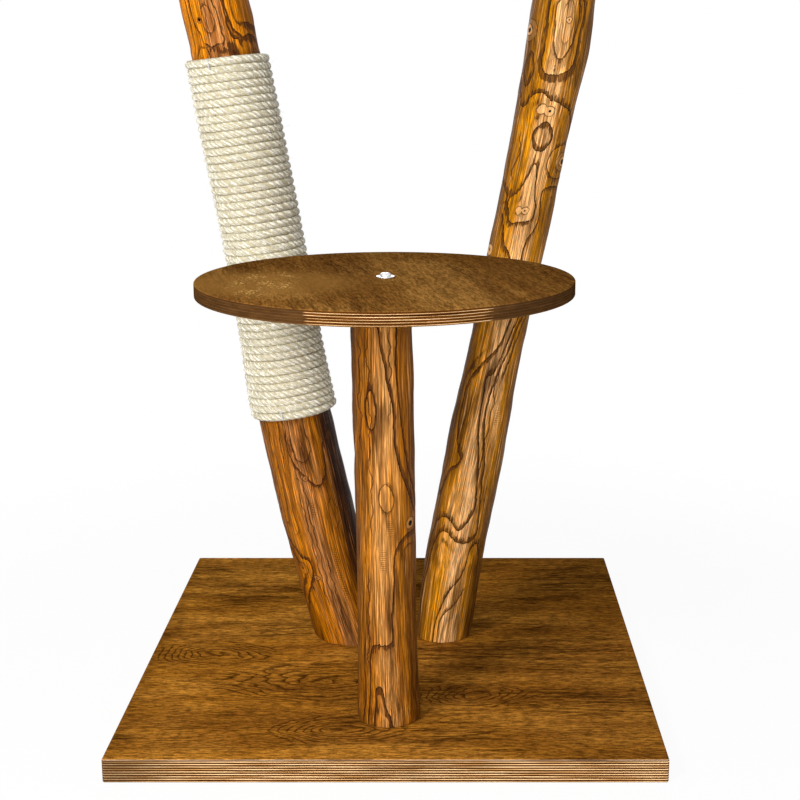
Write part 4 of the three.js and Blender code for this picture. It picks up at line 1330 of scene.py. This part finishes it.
def board_material(name, box, plies, light_from, tones, stained, turn=0.0, contrast=1.0,
                   darker_right=0.0, worn_rim_and_highlight=0.0, figures=(), crust=None):
    """Stained plywood: plies by height at the edge, veneer on the faces.

    stained takes the tree and the place and gives where the edge is stained over. contrast says
    how strong the strokes are, darker_right how much of the third tone the right end takes as
    painted shade, and the rim share how pale the edge's upper rim is made, partly as wear and
    partly as a painted highlight. figures are places (x, y, reach) in metres where the veneer's
    rings close round a middle. crust, a place of the same kind, is where the grain was raised and
    holds pale flecks.
    """
    material, tree, shader = new_material(name)
    low, high = box
    place = wire(tree, "TexCoord", out=3)
    turned = wire(tree, "Mapping", {"Vector": place, "Rotation": (0, 0, turn)})

    def within(x, y, reach, squeeze):
        """1 at a place on the board, down to 0 at its reach."""
        away = wire(tree, "VectorMath", [place, (x, y, high[2])], operation="SUBTRACT")
        away = wire(tree, "VectorMath", [away, (squeeze, 1.0, 0.0)], operation="MULTIPLY")
        distance = wire(tree, "VectorMath", [away], out=1, operation="LENGTH")
        return ramp(tree, distance, 0.0, reach, 1.0, 0.0)

    hump = 0.0
    for x, y, reach in figures:
        hump = math(tree, "ADD", hump, within(x, y, reach, 0.45))
    faint = ramp(tree, stretched_noise(tree, turned, (6, 18, 6), 2.0), 0.45, 0.65, 0.0, 0.45)
    shown = larger(tree, faint, ramp(tree, hump, 0.02, 0.2))
    face = group_node(tree, veneer, Place=turned, Figure=times(tree, hump, 7.0), Shown=shown)
    across = part_of(tree, place, 0)
    cracks = times(tree, face["Cracks"], 0.7 * contrast)
    lines = larger(tree, times(tree, face["Rings"], 0.78), cracks)
    colour = painted(
        tree,
        tones[0],
        (ramp(tree, face["Patches"], 0.42, 0.58), tones[1]),
        (times(tree, face["Bands"], 0.5), tones[2]),
        (times(tree, face["Streaks"], 0.6 * contrast), tones[2]),
        # painted shade: the face darkens towards the right end
        (ramp(tree, across, -0.12, 0.3, 0.0, darker_right), tones[2]),
        (ramp(tree, across, low[0], low[0] + 0.03, 0.55 * darker_right, 0.0), tones[3]),
        (lines, tones[3]),
    )
    stroke = ramp(tree, face["Strokes"], 0.0, 1.0, 1 - 0.46 * contrast, 1 + 0.5 * contrast)
    colour = lit(tree, colour, stroke)
    raised = less(tree, face["Strokes"], lines)
    if crust:
        grit = ramp(tree, stretched_noise(tree, place, (330, 170, 300), 4.0, 0.75), 0.535, 0.58)
        clump = ramp(tree, stretched_noise(tree, place, (38, 30, 30), 2.0), 0.42, 0.56, 0.15, 1.0)
        spread = times(tree, ramp(tree, within(*crust, 2.6), 0.0, 0.5), clump)
        lifted = ramp(tree, within(*crust, 0.8), 0.0, 0.7, 0.0, 0.6)
        grit = times(tree, grit, spread)
        fleck = (times(tree, grit, 0.8), srgb(226, 182, 106))
        colour = painted(tree, colour, (lifted, tones[1]), fleck)
        raised = times_plus(tree, grit, 2.5, raised)
    upright = part_of(tree, wire(tree, "TexCoord", out=1), 2)
    is_edge = ramp(tree, unsigned(tree, upright), 0.35, 0.6, 1, 0)
    ply_height = (high[2] - low[2]) / plies
    edge = ply_edge(tree, place, low[2], ply_height, light_from, stained(tree, place), plies,
                    worn_rim_and_highlight)
    tree.links.new(blend_colour(tree, is_edge, colour, edge), shader.inputs["Base Color"])
    shader.inputs["Specular IOR Level"].default_value = 0.0
    tree.links.new(times_plus(tree, face["Strokes"], -0.1, 0.5), shader.inputs["Roughness"])
    set_bump(tree, shader, raised, 0.0002, 0.6)
    return material


def stained_left_end(tree, place):
    """The base's edge: the stain ran over at the left end, and thinly in places elsewhere."""
    far_left = ramp(tree, part_of(tree, place, 0), -0.29, -0.19, 0.65, 0.0)
    runs = ramp(tree, stretched_noise(tree, place, (12, 12, 40), 3.0), 0.5, 0.75, 0.0, 0.35)
    return larger(tree, far_left, runs)


BARE_TURN = np.radians(6)  # the bare stretch's middle, from the front towards the right
BARE_COSINE = 0.903  # cosine of half its width


def stained_sides(tree, place):
    """The shelf's edge: the share of the way that lies along one direction, bare near 1 or -1."""
    away = wire(tree, "VectorMath", [place, tuple(shelf_middle)], operation="SUBTRACT")
    direction = (np.sin(BARE_TURN) / shelf_radius, -np.cos(BARE_TURN) / shelf_radius, 0.0)
    share = wire(tree, "VectorMath", [away, direction], out=1, operation="DOT_PRODUCT")
    share = unsigned(tree, share)
    blotch = less(tree, stretched_noise(tree, place, (60, 60, 160), 3.0), 0.5)
    share = times_plus(tree, blotch, 0.05, share)
    return ramp(tree, share, BARE_COSINE - 0.008, BARE_COSINE + 0.008, 0.95, 0.0)


BASE_PLIES, SHELF_PLIES = 19, 11
BASE_TONES = (srgb(163, 107, 32), srgb(186, 127, 46), srgb(104, 62, 20), srgb(48, 24, 5))
SHELF_TONES = (srgb(129, 88, 38), srgb(152, 109, 53), srgb(98, 62, 26), srgb(56, 30, 8))
BASE_FIGURES = ((-0.221, -0.035, 0.045), (-0.095, -0.116, 0.065), (-0.055, -0.235, 0.045),
                (0.10, -0.15, 0.04))
base_material = board_material("stained_base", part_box("base_board"), BASE_PLIES, 0.82, BASE_TONES,
                               stained_left_end, darker_right=0.45, worn_rim_and_highlight=0.72,
                               figures=BASE_FIGURES)
base_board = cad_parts["base_board"]
base_board.data.materials.clear()
base_board.data.materials.append(base_material)
print("base and shelf plies:", BASE_PLIES, SHELF_PLIES)

# %% The round shelf
SHELF_SIDES = 320
SHELF_HOLE_RADIUS = 0.0033
SHELF_EDGE_ROUND = 0.00125
shelf_low, shelf_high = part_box("shelf_disc")
shelf_middle = (np.array(shelf_low) + np.array(shelf_high)) / 2
shelf_radius = (shelf_high[0] - shelf_low[0]) / 2


def turned_grid(profile, middle, sides):
    """A profile of (radius, height) rows carried round an upright line through the middle."""
    turn = 2 * np.pi * np.arange(sides) / sides
    radius, height = np.array(profile, float).T
    x = middle[0] + radius[:, None] * np.cos(turn)
    y = middle[1] + radius[:, None] * np.sin(turn)
    return np.stack([x, y, np.broadcast_to(height[:, None], x.shape)], axis=-1)


def rounded_corner(radius, height, size, start, steps=6):
    """A quarter circle of the given size around a middle, from a start angle, as profile rows."""
    turn = start + np.linspace(0, np.pi / 2, steps)
    return np.stack([radius + size * np.cos(turn), height + size * np.sin(turn)], axis=-1)


edge_radius = shelf_radius - SHELF_EDGE_ROUND
shelf_profile = np.vstack([
    [[SHELF_HOLE_RADIUS, shelf_high[2]], [SHELF_HOLE_RADIUS, shelf_low[2]]],
    [[edge_radius * 0.5, shelf_low[2]]],
    rounded_corner(edge_radius, shelf_low[2] + SHELF_EDGE_ROUND, SHELF_EDGE_ROUND, -np.pi / 2),
    rounded_corner(edge_radius, shelf_high[2] - SHELF_EDGE_ROUND, SHELF_EDGE_ROUND, 0.0),
    [[edge_radius * 0.5, shelf_high[2]]],
])
shelf_mesh = grid_mesh("shelf_plywood", turned_grid(shelf_profile, shelf_middle, SHELF_SIDES),
                       looped=True)
shelf_mesh.set_sharp_from_angle(angle=np.radians(50))
SHELF_CRUST = (-0.125, -0.232, 0.125)
shelf_material = board_material("stained_shelf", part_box("shelf_disc"), SHELF_PLIES, 1.0,
                                SHELF_TONES,
                                stained_sides, turn=1.35, contrast=0.75, crust=SHELF_CRUST)
finish_piece(add_object("shelf_plywood", shelf_mesh, shelf_material), "stained_plywood",
             "shelf_disc")

# %% [markdown]
# ## Zinc-plated fixings
#
# The screw in the middle of the shelf has a domed head with a cross cut in it, over a pressed
# washer. The head is a height field over a disc: a dome, less the two arms of the cross. Below the
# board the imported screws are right, and only get the plated finish.

# %% Zinc
def zinc_material():
    """Bright zinc plating: metal with a faint mottle and fine scratches."""
    material, tree, shader = new_material("zinc_steel", 0.3)
    place = wire(tree, "TexCoord", out=3)
    mottle = stretched_noise(tree, place, (400, 400, 400), 3.0)
    scratch = stretched_noise(tree, place, (5200, 600, 900), 2.0)
    body = blend_colour(tree, ramp(tree, mottle, 0.3, 0.7), srgb(205, 207, 209),
                        srgb(238, 239, 240))
    tree.links.new(body, shader.inputs["Base Color"])
    tree.links.new(times_plus(tree, scratch, 0.25, 0.18), shader.inputs["Roughness"])
    shader.inputs["Metallic"].default_value = 1.0
    set_bump(tree, shader, scratch, 0.00005, 0.4)
    return material


zinc = zinc_material()
ZINC_WORDS = ("coach", "wood_screw", "staple")
zinc_nodes = [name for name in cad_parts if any(word in name for word in ZINC_WORDS)]
for name in zinc_nodes:
    node_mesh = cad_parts[name].data
    node_mesh.materials.clear()
    node_mesh.materials.append(zinc)
print("plated nodes:", len(zinc_nodes))

# %% The shelf's screw and washer
screw_low, screw_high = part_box("shelf_screw")
washer_low, washer_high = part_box("shelf_washer")
screw_middle = (np.array(screw_low) + np.array(screw_high)) / 2
HEAD_RADIUS = (screw_high[0] - screw_low[0]) / 2
HEAD_RIM = 0.0011
HEAD_HEIGHT = 0.0036
CROSS_DEPTH = 0.0018
CROSS_WIDTH = 0.0016
CROSS_REACH = 0.0034
SHANK_RADIUS = 0.0030


def screw_head_grid():
    """Rows of a domed head from its rim to its middle; the cross is cut by a smooth step."""
    turn = 2 * np.pi * np.arange(144) / 144
    share = np.concatenate([[1.0, 1.0], np.linspace(0.985, 0.02, 44)])
    radius = HEAD_RADIUS * share
    dome = HEAD_RIM + (HEAD_HEIGHT - HEAD_RIM) * np.sqrt(np.clip(1 - share**2.6, 0, 1))
    dome[0] = 0
    x, y = radius[:, None] * np.cos(turn), radius[:, None] * np.sin(turn)
    arm = np.minimum(np.abs(x), np.abs(y))
    reach = np.maximum(np.abs(x), np.abs(y))
    in_width = np.clip((CROSS_WIDTH / 2 - arm) / 0.0003, 0, 1)
    cut = in_width * np.clip((CROSS_REACH - reach) / 0.0008, 0, 1)
    height = screw_high[2] - HEAD_HEIGHT + dome[:, None] - CROSS_DEPTH * cut
    return np.stack([screw_middle[0] + x, screw_middle[1] + y, height], axis=-1)


shank = turned_grid([[0.0004, screw_low[2]], [SHANK_RADIUS * 0.5, screw_low[2] + 0.004],
                     [SHANK_RADIUS, screw_low[2] + 0.009],
                     [SHANK_RADIUS, screw_high[2] - HEAD_HEIGHT]],
                    screw_middle, 144)
screw_grid = np.concatenate([shank, screw_head_grid()])
screw_mesh = grid_mesh("shelf_pan_screw", screw_grid, first_cap=True, last_cap=True)
screw_mesh.set_sharp_from_angle(angle=np.radians(40))
finish_piece(add_object("shelf_pan_screw", screw_mesh, zinc), "zinc_steel", "shelf_screw")
WASHER_ROUND = 0.00035
washer_radius = (washer_high[0] - washer_low[0]) / 2 - WASHER_ROUND
washer_hole = 0.0034
washer_profile = np.vstack([
    [[washer_hole, washer_high[2]], [washer_hole, washer_low[2]]],
    rounded_corner(washer_radius, washer_low[2] + WASHER_ROUND, WASHER_ROUND, -np.pi / 2),
    rounded_corner(washer_radius, washer_high[2] - WASHER_ROUND, WASHER_ROUND, 0.0),
])
washer_mesh = grid_mesh("shelf_flat_washer", turned_grid(washer_profile, screw_middle, 96),
                        looped=True)
washer_mesh.set_sharp_from_angle(angle=np.radians(50))
finish_piece(add_object("shelf_flat_washer", washer_mesh, zinc), "zinc_steel", "shelf_washer")
